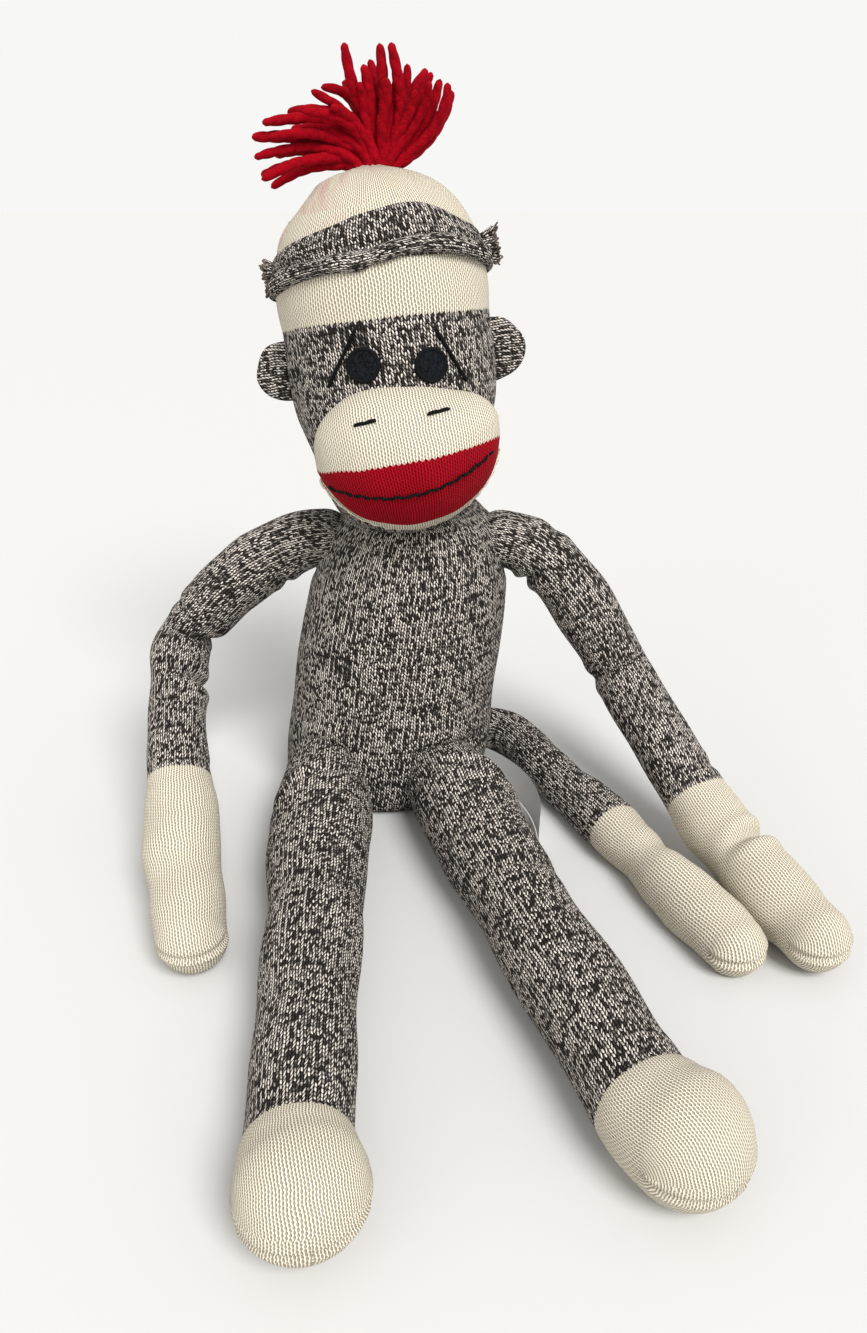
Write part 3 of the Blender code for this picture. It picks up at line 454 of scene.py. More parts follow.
def lay_grid(name, points, u, v, wrap=True, start=None, end=None, end_map=None):
    """A skin over a grid of points (rows, columns), with the stitch map. start and end close it with a pole.

    u and v are tables with one more column than the points, or pairs of tables for the left and the right
    side of each face. end_map says where on the stitch map the faces at the end's pole meet.
    """
    rows, columns = points.shape[:2]
    faces_across = columns if wrap else columns - 1

    def sides(values):
        if isinstance(values, tuple):
            return values
        values = np.asarray(values, float)
        if values.shape == (rows,) and rows != faces_across + 1:
            values = values[:, None]
        values = np.broadcast_to(values, (rows, faces_across + 1))
        return values[:, :-1], values[:, 1:]

    left, right = (np.stack(pair, -1) for pair in zip(sides(u), sides(v)))
    flat = points.reshape(-1, 3)
    j, i = np.meshgrid(np.arange(rows - 1), np.arange(faces_across), indexing='ij')
    here, beside = j * columns + i, j * columns + (i + 1) % columns
    quads = np.stack([here, beside, beside + columns, here + columns], -1).reshape(-1, 4)
    verts, faces = flat.tolist(), quads.tolist()
    maps = np.stack([left[j, i], right[j, i], right[j + 1, i], left[j + 1, i]], -2).reshape(-1, 2).tolist()
    for pole, row, step in ((start, 0, -1), (end, rows - 1, 1)):
        if pole is None:
            continue
        verts.append(list(pole))
        for k in range(columns):
            corners = [row * columns + k, row * columns + (k + 1) % columns]
            edges = [left[row, k], right[row, k]]
            middle = (edges[0] + edges[1]) / 2 + np.array((0, step * 0.5))
            if step > 0 and end_map is not None:
                middle = (end_map[0][k], end_map[1][k])
            faces.append([*corners[::step], len(verts) - 1])
            maps += [*edges[::step], middle]
    built = new_mesh(name, verts, faces, maps)
    corners = (flat - flat.mean(0))[quads]
    facing = np.cross(corners[:, 2] - corners[:, 0], corners[:, 3] - corners[:, 1])
    if (facing * corners.mean(1)).sum() < 0:
        built.data.flip_normals()
    return built


def yarn_tube(path, radius, sides):
    """Points of a thin tube along a path, as a grid that narrows at both ends."""
    path = np.asarray(path, float)
    radius = np.broadcast_to(np.asarray(radius, float), (len(path),)).copy()
    radius[[0, -1]] *= 0.35
    guess = np.array((0.3, 0.5, 0.8))
    if abs(unit(path[1] - path[0]) @ unit(guess)) >= 0.9:
        guess = np.array((1.0, 0, 0))
    _, across, through = frames_along(path, guess)
    return path[:, None] + rings_of(across, through, turns_of(sides, 0)) * radius[:, None, None]


def join_tubes(name, grids):
    """Many closed tubes as one mesh."""
    verts, faces, maps = [], [], []
    for grid in grids:
        rows, sides = grid.shape[:2]
        base = len(verts)
        verts += grid.reshape(-1, 3).tolist()
        run = run_of(grid.mean(1)) / MM
        for j in range(rows - 1):
            for i in range(sides):
                here = base + j * sides + i
                beside = base + j * sides + (i + 1) % sides
                faces.append((here, beside, beside + sides, here + sides))
                left, right = i / sides, (i + 1) / sides
                maps += [(left, run[j]), (right, run[j]), (right, run[j + 1]), (left, run[j + 1])]
        ring = list(range(base, base + sides))
        faces += [ring[::-1], [k + (rows - 1) * sides for k in ring]]
        maps += [(0.5, run[0])] * sides + [(0.5, run[-1])] * sides
    return new_mesh(name, verts, faces, maps)


def dress(built, material, ride=None, replaces=(), blend=None):
    """Say what a piece is made of and which body it goes with. blend holds two bodies, a start and an end; only
    whether it is given is read, and then the piece's place is baked into its mesh and it goes with no body.
    """
    built.data.materials.append(material)
    if ride:
        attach(built, ride)
    if blend:
        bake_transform(built)
    if replaces:
        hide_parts(*replaces)


# Stitch size and yarns
COURSE = 0.0018
PLAIN_COURSE = 0.0021
BLACK_THREAD = thread("black_thread", (0.006, 0.006, 0.007), 3.0, 0.7, 0.5)
RED_YARN = thread("red_yarn", (0.33, 0.0008, 0.0075), 1.2, 0.85, 0.8)
BODY_COLUMNS = 144


def loft(rows, count, weights=1):
    """A skin round an upright line through rows of height, half width and half depth."""
    (height, wide, deep), run = follow(rows, count, weights)
    angle = turns_of(BODY_COLUMNS)
    across, back, level = np.broadcast_arrays(np.cos(angle), np.sin(angle), height[:, None])
    points = np.stack([wide[:, None] * across, deep[:, None] * back, level], -1)
    return points, np.stack([across, back, 0 * level], -1), run, angle


# Torso
LEAN = np.array((math.tan(math.radians(7.5)), math.tan(math.radians(5.0)), 0.0))
TORSO_WALES = 122
TORSO_TOP = 0.1612
FLOOR_GAP = 0.0003
# height, half width and half depth in millimetres
TORSO_ROWS = [
    (0.0003, 44.0, 31.0), (2.9, 49.0, 35.5), (8.0, 52.8, 38.6), (16.0, 54.0, 40.0), (27.0, 54.5, 40.8),
    (55.0, 53.0, 40.4), (80.0, 52.9, 40.0), (105.0, 51.3, 39.2), (125.6, 48.6, 37.6), (140.0, 43.7, 34.8),
    (149.7, 36.7, 30.0), (156.0, 27.0, 22.4), (159.7, 14.6, 12.4),
]
# from, to, depth and width: two deep folds over the hips, three faint ones on the left and one in the middle
FURROWS = [
    ((-0.045, -0.020, 0.034), (-0.010, -0.044, 0.040), 0.0040, 0.0044),
    ((0.052, -0.018, 0.036), (0.020, -0.044, 0.037), 0.0040, 0.0044),
    ((-0.047, -0.018, 0.074), (-0.008, -0.040, 0.066), 0.0007, 0.0030),
    ((-0.043, -0.020, 0.096), (-0.006, -0.037, 0.091), 0.0006, 0.0030),
    ((-0.030, -0.026, 0.128), (0.004, -0.032, 0.122), 0.0007, 0.0030),
    ((0.008, -0.042, 0.020), (0.010, -0.042, 0.046), 0.0012, 0.0026),
]


def torso_centre(height):
    return height * LEAN + np.array((0, 0, height))


points, radial, run, _ = loft(np.array(TORSO_ROWS) * MM, 130, np.array((1, 1, 0)))
points = points + points[..., 2:] * LEAN
near_floor = np.clip(points[..., 2] / 0.02, 0, 1)
points = points + radial * (lumps(points, 0.055, 0.0008, 3) * near_floor)[..., None]
# the knit puckers at each shoulder seam
for word in ("left", "right"):
    away = points - JOINT[f"shoulder_{word}"]
    distance = np.linalg.norm(away[..., 1:], axis=-1)
    near = bell((distance - 0.0165) / 0.0035) * (np.abs(away[..., 0]) < 0.02)
    points = points - radial * (0.0012 * near)[..., None]
for values in FURROWS:
    points = furrow(points, radial, *values)
torso = lay_grid("torso_skin", points, wales_over(BODY_COLUMNS, TORSO_WALES), run / COURSE,
                 start=(0, 0, FLOOR_GAP), end=torso_centre(TORSO_TOP))
dress(torso, knit("knit_torso", "marl"), "torso", ["torso"])


# Head
def turn(degrees, axis):
    return Matrix.Rotation(math.radians(degrees), 4, axis)


def move(x, y, z):
    return Matrix.Translation((x, y, z))


def to_world(frame_matrix, points):
    m = np.array(frame_matrix)
    return points @ m[:3, :3].T + m[:3, 3]


NECK = Vector(torso_centre(0.150)) + Vector((-0.0045, 0, 0))
HEAD = Matrix.Translation(NECK) @ turn(-6.2, 'Y') @ turn(-9.8, 'X') @ turn(6.0, 'Z')
HALF_WIDE = 0.04925
HALF_DEEP = 0.046
FACE_TOP = 0.091
HEAD_TOP = 0.157
HEAD_WALES = 112
HAIR_ROW = 52
# shares of the height, half width and half depth, for the face and then for the crown
FACE_ROWS = [(-0.10, 0.30, 0.40), (-0.06, 0.52, 0.62), (0.03, 0.66, 0.80), (0.12, 0.74, 0.90),
             (0.26, 0.82, 0.96), (0.36, 0.87, 1.0), (0.45, 0.92, 1.0), (0.57, 0.975, 1.0), (0.72, 1.0, 1.0),
             (1.0, 1.0, 1.0)]
CROWN_ROWS = [(0.0, 1.0, 1.0), (0.14, 1.01, 1.0), (0.28, 0.995, 0.99), (0.42, 0.970, 0.96),
              (0.56, 0.915, 0.90), (0.70, 0.815, 0.80), (0.82, 0.675, 0.66), (0.91, 0.50, 0.49),
              (0.97, 0.29, 0.29), (0.993, 0.11, 0.11)]
FACE = [(FACE_TOP * s, HALF_WIDE * w, HALF_DEEP * d) for s, w, d in FACE_ROWS]
CROWN = [(FACE_TOP + (HEAD_TOP - FACE_TOP) * s, HALF_WIDE * w, HALF_DEEP * d) for s, w, d in CROWN_ROWS]

points, radial, run, _ = loft(FACE + CROWN[1:6], 150)
hair_run = float(np.interp(FACE_TOP, points[:, 0, 2], run))
courses = HAIR_ROW + 0.6 + (run - hair_run) / np.where(run < hair_run, COURSE, PLAIN_COURSE)
world = to_world(HEAD, points + radial * lumps(points, 0.05, 0.0007, 11)[..., None])
u = wales_over(BODY_COLUMNS, HEAD_WALES)
head_knit = knit("knit_head", "marl", "cream", HAIR_ROW)
split = int(np.searchsorted(run, hair_run - 2.4 * COURSE))
head = lay_grid("head_skin", world[:split + 1], u, courses[:split + 1], start=HEAD @ Vector((0, 0, -0.012)))
neck_bend = ("torso", "head", NECK + Vector((0, 0, -0.008)), NECK + Vector((0, 0, 0.018)))
dress(head, head_knit, None, ["head"], neck_bend)
forehead = lay_grid("forehead_skin", world[split:], u, courses[split:])
dress(forehead, head_knit, "head", ["forehead_band"])

# Hat, with the crown's wales drawn together at the top
points, radial, run, angle = loft(CROWN[2:], 90)
size = np.hypot(points[..., 0], points[..., 1])
pleats = np.cos(angle * 19) * 0.0009 + np.cos(angle * 7 + 1.0) * 0.0007
gather = np.clip(1 - size / 0.036, 0, 1) * pleats
points = points + radial * gather[..., None] + radial * lumps(points, 0.04, 0.0006, 5)[..., None]
points[..., 2] += 0.0015 * np.clip(1 - size / 0.012, 0, 1)
# its lower edge is tucked in under the forehead's knit
points = points - radial * 0.0014 * np.clip(1.6 - run / 0.006, 0, 1)[:, None, None]
# its left side falls in below the top and is fuller at it
share = (points[..., 2] - FACE_TOP) / (HEAD_TOP - FACE_TOP)
fall = 0.075 * bell((share - 0.79) / 0.12) - 0.10 * bell((share - 0.94) / 0.05)
points[..., 0] *= 1 - fall * (points[..., 0] < 0)
crown_tip = HEAD @ Vector((0, 0, HEAD_TOP + 0.0005))
crown = lay_grid("crown_skin", to_world(HEAD, points), u, run / PLAIN_COURSE, end=crown_tip)
dress(crown, knit("knit_crown", "cream", stained=True), "head", ["hat_crown"])

# The brim is a band that lies flush on the crown, and under it the sock's edge, rolled up once
BRIM_HEIGHT = 0.108
BRIM = HEAD @ move(0, 0, BRIM_HEIGHT) @ turn(-1.5, 'Y') @ turn(-6.0, 'X')
BRIM_TILT_RIGHT = 0.0262
BRIM_TILT_BACK = 0.1045
BAND_COLUMNS = 216
BAND_TOP = 0.0235
ROLL_COLUMNS = 264
ROLL_SIDES = 32
# going round the hat: angle in degrees, band's top edge, middle of the roll and its half height in millimetres
BRIM_LINE = np.array([(190, 16.0, 3.6, 4.9), (204, 16.2, 3.4, 4.8), (222, 16.6, 3.2, 4.2),
                      (244, 18.6, 2.8, 4.1), (258, 21.0, 2.3, 4.6), (264, 21.6, 2.9, 4.0),
                      (270, 22.2, 3.8, 3.9), (279, 22.9, 5.3, 3.9), (292, 23.4, 6.2, 4.2),
                      (307, 21.4, 5.9, 4.6), (322, 18.0, 4.6, 4.6), (345, 16.4, 4.0, 4.8),
                      (400, 16.5, 4.0, 4.8), (470, 17.0, 4.2, 4.6), (550, 16.0, 3.6, 4.9)])
# up the band: height and distance off the crown in millimetres
BAND_ROWS = [(1.5, 0.9), (6.0, 0.9), (8.6, 1.0), (10.4, 1.4), (13.0, 1.7), (16.5, 1.6), (20.0, 1.45),
             (22.4, 1.25), (23.4, 0.6), (23.5, -0.6), (22.6, -1.4)]


def on_crown(angle, level, out):
    """Places round the hat, level metres up the brim, and out metres off the crown."""
    tilt = BRIM_TILT_RIGHT * HALF_WIDE * np.cos(angle) - BRIM_TILT_BACK * HALF_DEEP * np.sin(angle)
    height = BRIM_HEIGHT + level + tilt
    heights, *halves = zip(*CROWN)
    wide, deep = (table_curve(heights, half, height) + out for half in halves)
    return np.stack([wide * np.cos(angle), deep * np.sin(angle), height], -1)


def round_brim(angle, column):
    """One column of the brim's line at each angle, in metres."""
    wrapped = (np.degrees(angle) - 190) % 360 + 190
    return table_curve(BRIM_LINE[:, 0], BRIM_LINE[:, column], wrapped) * MM


brim_knit = knit("knit_brim", "marl")
angle = turns_of(BAND_COLUMNS)
(level, out), run = follow(np.array(BAND_ROWS) * MM, 44)
level, out = level[:, None], out[:, None]
wavy = round_brim(angle, 1) - BAND_TOP + 0.0003 * np.sin(angle * 5 + 1.0)
points = on_crown(angle[None], level + wavy * np.clip((level - 0.008) / 0.014, 0, 1), out)
outward = np.stack([np.cos(angle), np.sin(angle), 0 * angle], -1)
bumps = lumps(points, 0.03, 0.0005, 8) * np.clip((level - 0.006) / 0.006, 0, 1)
points = points + outward * bumps[..., None]
brim = lay_grid("brim_band", to_world(HEAD, points), wales_over(BAND_COLUMNS, HEAD_WALES + 2), run / COURSE)
dress(brim, brim_knit, "head", ["hat_brim"])

# the rolled edge, with its chains of stitches running round the head, and the tuck in it left of the face
around = turns_of(ROLL_COLUMNS)
cross = turns_of(ROLL_SIDES, 0)
from_tuck = (around - math.radians(264.0) + math.pi) % math.tau - math.pi
pinch = bell(from_tuck / 0.035)
half_high = (round_brim(around, 3) - 0.0002) * (1 - 0.16 * pinch)
squared = np.sign(np.sin(cross)) * np.abs(np.sin(cross)) ** 0.85
level = round_brim(around, 2)[:, None] + half_high[:, None] * squared
out = 0.0010 + (0.0034 - 0.0012 * pinch)[:, None] * np.cos(cross) + 0.0003 * np.sin(around * 11)[:, None]
points = on_crown(around[:, None], level, out)
points = points + unit(points * np.array((1, 1, 0))) * lumps(points, 0.02, 0.0003, 9)[..., None]
points = np.concatenate([points, points[:1]])
v = run_of(points[:, 0]) / COURSE
roll = lay_grid("brim_roll", to_world(HEAD, points), wales_over(ROLL_SIDES, 13), v)
dress(roll, brim_knit, "head", ())


# Tassel
KNOT = np.array(HEAD @ Vector((0, 0, HEAD_TOP + 0.0022))) + np.array((0.0042, 0, 0))
KNOT_SPREAD = 0.0045
STRAND_SIZE = 0.0023
TWIST_LENGTH = 0.0140
# each strand's tip to the right, back and up from the knot, and its middle to the right and up, in millimetres
STRANDS = [(-12, -12, 45, -7, 24), (-5, -8, 38, -2, 19), (-3, 10, 41, 0, 22), (2, -4, 46, 3, 24),
           (7, -6, 46, 10, 24), (13, 6, 39, 11, 19), (22, 12, 37, 13, 22), (24, -12, 31, 18, 17),
           (28, 2, 32, 20, 14), (31, -8, 31, 24, 12), (32, 8, 29, 26, 12), (-25, 4, 30, -7, 22),
           (-15, 12, 32, -5, 22), (-27, -6, 28, -11, 16), (-40, 10, 20, -15, 17), (-31, -12, 20, -11, 14),
           (-51, 2, 16, -18, 14), (-47, -10, 10, -21, 10), (-57, 6, 10, -22, 8), (-55, -6, 2, -23, 6),
           (-52, -12, -7, -25, 2), (-50, 2, -10, -27, -2), (-55, 10, -5, -28, 0), (-20, 18, 30, -8, 20),
           (0, 18, 38, 0, 20), (18, 17, 30, 10, 18), (-42, 16, 10, -20, 12), (28, 14, 20, 16, 12),
           (-10, 20, 24, -4, 14), (10, 20, 26, 6, 15), (-46, 8, 2, -22, 8), (-34, 18, 2, -18, 6),
           (25, -3, 35, 16, 18), (29, 6, 33, 21, 16), (9, 0, 37, 7, 20), (-8, -11, 31, -4, 18),
           (4, -12, 33, 4, 18), (17, -10, 28, 12, 16), (-18, -12, 22, -8, 15), (-38, -4, 13, -16, 11),
           (-45, 2, 3, -21, 5)]
rng = np.random.default_rng(21)
grids = []
for k, (right, back, high, mid_right, mid_high) in enumerate(STRANDS):
    start_right = rng.uniform(-KNOT_SPREAD, KNOT_SPREAD) + right * 5e-5
    start = KNOT + np.array([start_right, rng.uniform(-KNOT_SPREAD, KNOT_SPREAD), -0.003])
    tip = KNOT + np.array([right, back, high]) * MM
    middle = KNOT + np.array([mid_right, back * 0.4, mid_high]) * MM
    path, _ = resample(bezier(start, 2 * middle - (start + tip) / 2, tip, 60), 0.0010)
    run = run_of(path)
    wave = np.stack([lumps(path, 0.030, amount, seed + k)
                     for amount, seed in ((0.0007, 100), (0.0007, 200), (0.0004, 300))], -1)
    path = path + wave * np.clip(run / 0.02, 0, 1)[:, None]
    _, across, through = frames_along(path, (0.2, 1.0, 0.1))
    size = STRAND_SIZE * rng.uniform(0.92, 1.12)
    taper = np.clip((run - run[-1] + 0.011) / 0.011, 0, 1)
    blunt = np.sqrt(1 - 0.75 * np.clip((run - run[-1] + 0.0022) / 0.0022, 0, 1) ** 2)
    for ply in range(2):
        phase = (run / TWIST_LENGTH * math.tau + ply * math.pi + k)[:, None]
        apart = size * 0.15 * (1 - 0.3 * taper)
        offset = (across * np.cos(phase) + through * np.sin(phase)) * apart[:, None]
        rough = 0.90 + 0.03 * lumps(path, 0.006, 1.0, 400 + 2 * k + ply)
        thick = size * rough * (1 - 0.36 * taper**1.6) * blunt
        grids.append(yarn_tube(path + offset, thick, 12))
dress(join_tubes("tassel_yarn", grids), RED_YARN, "head", ["tassel"])


# Muzzle
MUZZLE = HEAD @ move(0.0016, -0.036, 0.031) @ turn(-3.5, 'Y')
MUZZLE_HALF = np.array((0.042, 0.037, 0.031))
MUZZLE_COLUMNS = 110
MUZZLE_WALE = 0.0026
LIP_TOP = 0.001
EDGE_SIDES = 12


def muzzle_form(points):
    """The egg of the muzzle made fuller above the lips and narrower towards the chin."""
    x, y, z = points[..., 0] / MUZZLE_HALF[0], points[..., 1], points[..., 2] / MUZZLE_HALF[2]
    square = np.clip(1 - np.abs(x) ** 2.8, 1e-6, 1) ** (1 / 2.8) / np.clip(1 - x * x, 1e-6, 1) ** 0.46
    up, down, right = np.clip(z, 0, 1), np.clip(-z, 0, 1), np.clip(x, 0, 1)
    upper = np.minimum(up * 4, 1)
    lift = 0.07 * bell((x + 0.25) / 0.3) - 0.085 * bell((x - 0.62) / 0.28) - 0.075 * right
    return np.stack([MUZZLE_HALF[0] * x * (1 - 0.14 * down**0.9 + 0.05 * upper * right), y,
                     MUZZLE_HALF[2] * (z * (1 + (square - 1) * upper) + lift * up - 0.09 * down**2)], -1)


def muzzle_part(name, node, low, high, rows, first_course):
    """The muzzle's skin between two angles, one or one for each column, with wales that run up and down."""
    share = np.linspace(-1, 1, MUZZLE_COLUMNS)
    x = MUZZLE_HALF[0] * np.sin(share * math.pi / 2 * 0.995)
    size = np.cos(share * math.pi / 2 * 0.995) ** 0.92
    level = np.linspace(np.broadcast_to(low, share.shape), np.broadcast_to(high, share.shape), rows)
    points = np.stack([np.repeat(x[None], rows, 0), -MUZZLE_HALF[1] * size * np.cos(level),
                       MUZZLE_HALF[2] * size * np.sin(level)], -1)
    sideways = run_of(np.stack([x, size * MUZZLE_HALF[1]], -1))
    u = (sideways - sideways[-1] / 2) / MUZZLE_WALE + 40
    v = level * (MUZZLE_HALF[1] + MUZZLE_HALF[2]) / 2 * size / COURSE
    points = muzzle_form(points + unit(points / MUZZLE_HALF) * lumps(points, 0.03, 0.0004, 31)[..., None])
    # the line where red meets cream hangs a little on the left and lifts towards the right corner
    rise = -0.0013 + 0.0021 * np.clip((share - 0.1) / 0.5, 0, 1)
    rise = rise * np.clip((1.02 - np.abs(share)) / 0.2, 0, 1)
    built = lay_grid(name, to_world(MUZZLE, points), u, v - rise / COURSE + first_course, wrap=False)
    dress(built, muzzle_knit, "head", node)


muzzle_knit = knit("knit_muzzle", "red", "cream", 0)
lip_angle = math.asin(LIP_TOP / MUZZLE_HALF[2])
lip_courses = lip_angle * (MUZZLE_HALF[1] + MUZZLE_HALF[2]) / 2 / COURSE
lip_split = lip_angle - 0.10
chin_line = -np.radians(59 + 26 * np.linspace(-1, 1, MUZZLE_COLUMNS) ** 2)
muzzle_part("muzzle_skin", ["muzzle"], lip_split, math.radians(178), 90, -lip_courses)
muzzle_part("lips_skin", ["lips"], chin_line, lip_split, 60, -lip_courses)
muzzle_part("chin_skin", (), math.radians(-150), chin_line, 40, 90)

# the narrow cream edge under the lips
t = np.linspace(math.radians(186), math.radians(353), 150)
edge = np.stack([MUZZLE_HALF[0] * 1.008 * np.cos(t), 0.003 + 0.004 * np.sin(t * 3),
                 MUZZLE_HALF[2] * np.sin(t)], -1)
grid = yarn_tube(to_world(MUZZLE, muzzle_form(edge)), 0.0015 * (1 + 0.15 * np.sin(t * 40)), EDGE_SIDES)
seam = lay_grid("muzzle_edge", grid, wales_over(EDGE_SIDES, 3), run_of(grid.mean(1)) / COURSE)
dress(seam, knit("knit_seam", "cream"), "head", ["muzzle_seam"])


# Face
EYE_FRAME = move(0, 0, 0.0711) @ turn(6.0, 'Y')
# a stitch's length, the gap after it, the thread's radius, the stitch's rise and its zigzag
BROW_STITCH = (0.0062, -0.0012, 0.00085, 0.0012, 0.0)
NOSTRIL_STITCH = (0.0050, -0.0008, 0.00080, 0.0011, 0.0)
SMILE_STITCH = (0.0032, 0.0005, 0.00072, 0.0009, 0.0004)


def on_muzzle(x, z, rise):
    """A place on the front of the muzzle, in its frame, lifted off the knit."""
    a, b, c = MUZZLE_HALF
    egg = np.array((x, 0.0, z))
    for _ in range(4):
        formed = muzzle_form(egg)
        egg = egg + np.array((x - formed[0], 0.0, z - formed[2]))
    egg[1] = -b * math.sqrt(max(1 - (egg[0] / a) ** 2 - (egg[2] / c) ** 2, 0.0))
    return muzzle_form(egg + unit(egg / MUZZLE_HALF**2) * rise)


def on_face(x, z, rise):
    """A place on the front of the face, in the head's frame; x and z are read in the level line of the eyes."""
    spot = EYE_FRAME @ Vector((x, 0, z))
    y = -HALF_DEEP * math.sqrt(max(1 - (spot.x / HALF_WIDE) ** 2, 0.0))
    outward = unit(np.array((spot.x / HALF_WIDE**2, y / HALF_DEEP**2, 0.0)))
    return np.array((spot.x, y, spot.z)) + outward * rise


def stitch_row(name, node, surface, frame_matrix, line, stitch, gap, radius, rise, zigzag):
    """A row of stitches along a line (x, z) on a surface: each dives into the knit at both ends."""
    line = np.array(line, float)
    run = run_of(line)
    count = max(int(round(run[-1] / (stitch + gap))), 1)
    grids = []
    for k in range(count):
        low, high = run[-1] / count * k, run[-1] / count * (k + 1) - gap
        at = np.linspace(low, high, 9)
        share = (at - low) / (high - low)
        z = np.interp(at, run, line[:, 1]) + zigzag * (share - 0.5) * 2 * (1 if k % 2 else -1)
        arch = rise * np.sin(share * math.pi) ** 0.5
        path = [surface(*values) for values in zip(np.interp(at, run, line[:, 0]), z, arch)]
        grids.append(yarn_tube(to_world(frame_matrix, np.array(path)), radius, 8))
    dress(join_tubes(name, grids), BLACK_THREAD, "head", [node])


# side, brow from its inner end, height of the nostril's middle and its slope
for word, side, brow, level, slope in (
        ("left", -1, [(-0.0170, 0.0148), (-0.0222, 0.0042), (-0.0290, -0.0092)], 0.0185, 0.10),
        ("right", 1, [(0.0172, 0.0148), (0.0240, 0.0048), (0.0312, -0.0068)], 0.0180, 0.03)):
    stitch_row(f"brow_stitches_{word}", f"brow_{word}", on_face, HEAD, bezier(*brow, 24), *BROW_STITCH)
    ends = [(side * 0.01575 - 0.0016 + shift, level + slope * shift) for shift in (-0.0047, 0.0047)]
    stitch_row(f"nostril_stitches_{word}", f"nostril_{word}", on_muzzle, MUZZLE, ends, *NOSTRIL_STITCH)
share = np.linspace(-1, 1, 60)
smile = np.stack([-0.0006 + share * 0.0370, -0.0042 + 0.002 * share - 0.0093 * (1 - share * share)], -1)
stitch_row("smile_stitches", "smile", on_muzzle, MUZZLE, smile, *SMILE_STITCH)


# Eyes
EYE_COLUMNS = 72
EYE_STITCHES = 84
EYE_APART, EYE_HALF_WIDE, EYE_HALF_HIGH = 0.0148, 0.0074, 0.0077
# share of the way from the middle to the rim, and height off the face in millimetres
EYE_ROWS = [(0.001, 1.1), (0.15, 1.1), (0.35, 1.1), (0.55, 1.1), (0.70, 1.1), (0.76, 1.05), (0.80, 1.35),
            (0.86, 1.65), (0.92, 1.6), (0.97, 1.2), (1.0, 0.6), (1.0, -0.6)]


def paint_felt(net):
    u, v = net.stitch_map()
    rim = net.ramp(v, 0.74, 0.80)
    rays = net.sine(u * EYE_STITCHES)
    fuzz = net.noise(net.place(), 900.0, 4.0, 0.7)
    cloud = net.noise(net.place(), 260.0, 3.0, 0.6)
    flat = net.mix(net.ramp(fuzz, 0.35, 0.7), (0.002, 0.0023, 0.0032, 1), (0.012, 0.014, 0.019, 1))
    edge = net.mix(net.ramp(rays, -0.5, 0.9), (0.002, 0.002, 0.0025, 1), (0.014, 0.015, 0.018, 1))
    return net.mix(rim, flat, edge), fuzz * 0.2 + 0.75, rays * rim * 0.5 + (cloud * 0.6 + fuzz)


felt = new_material("black_felt", paint_felt, fabric(0.008), 0.6, 0.0005)
steps = np.linspace(0, 1, len(EYE_ROWS))
radius, rise = (table_curve(steps, [row[k] for row in EYE_ROWS], np.linspace(0, 1, 40)) for k in (0, 1))
for word, side in (("left", -1), ("right", 1)):
    middle = side * EYE_APART + 0.0007
    rings = [[(middle + EYE_HALF_WIDE * r * math.cos(a), EYE_HALF_HIGH * r * math.sin(a) - 0.0003, h)
              for a in turns_of(EYE_COLUMNS, 0)] for r, h in zip(radius, rise * MM)]
    points = np.array([[on_face(*spot) for spot in ring] for ring in rings])
    eye = lay_grid(f"felt_eye_{word}", to_world(HEAD, points), wales_over(EYE_COLUMNS, 1), radius)
    eye.data.flip_normals()
    dress(eye, felt, "head", [f"eye_{word}"])


# Ears and the gathered corners of the brim
EAR_ROWS = 70
EAR_COLUMNS = 84
CORNER_COLUMNS = 96
CORNER_WALES = 18
# how far out, half height, half thickness and the ruffles' depth in millimetres; the sixth row is the raw edge
CORNER_ROWS = np.array([
    (-3.0, 6.2, 4.4, 0.1), (-0.5, 6.0, 4.2, 0.3), (2.0, 6.6, 4.4, 0.5), (4.0, 7.4, 4.8, 0.7),
    (5.6, 8.0, 5.1, 0.9), (6.8, 8.3, 5.2, 1.1), (7.2, 8.0, 4.8, 1.1), (6.6, 7.2, 4.0, 1.0),
    (5.2, 5.8, 2.8, 0.7), (4.4, 3.8, 1.6, 0.4), (4.0, 1.6, 0.6, 0.1)]) * MM


def ear_pad(name, centre_frame, halves, seed):
    """A flat stuffed pad with a pinched edge; its wales run outwards from the head."""
    lat = np.linspace(-1, 1, EAR_ROWS) * math.pi / 2 * 0.985
    lon = np.arange(EAR_COLUMNS + 1) * math.tau / EAR_COLUMNS + math.pi / 2
    size = np.cos(lat)[:, None]
    x = halves[0] * size * np.sign(np.cos(lon)) * np.abs(np.cos(lon)) ** 0.92
    y = halves[1] * size**0.7 * np.sin(lon)
    z = np.repeat((halves[2] * np.sin(lat))[:, None], EAR_COLUMNS + 1, 1)
    points = np.stack([x, y, z], -1)[:, :-1]
    # the hollow where the two halves are caught together, and small pulls along the edge
    hollow = bell(points[..., 0] / halves[0] / 0.5) * bell(points[..., 2] / halves[2] / 0.6)
    points[..., 1] *= 1 - 0.16 * hollow
    points = points + unit(points) * lumps(points, 0.014, 0.0004, seed)[..., None]
    start, end = (centre_frame @ Vector((0, 0, up * halves[2])) for up in (-1, 1))
    u, v = z / 0.0024 + 30, x / 0.0016 + 30
    return lay_grid(name, to_world(centre_frame, points), u, v, start=start, end=end)


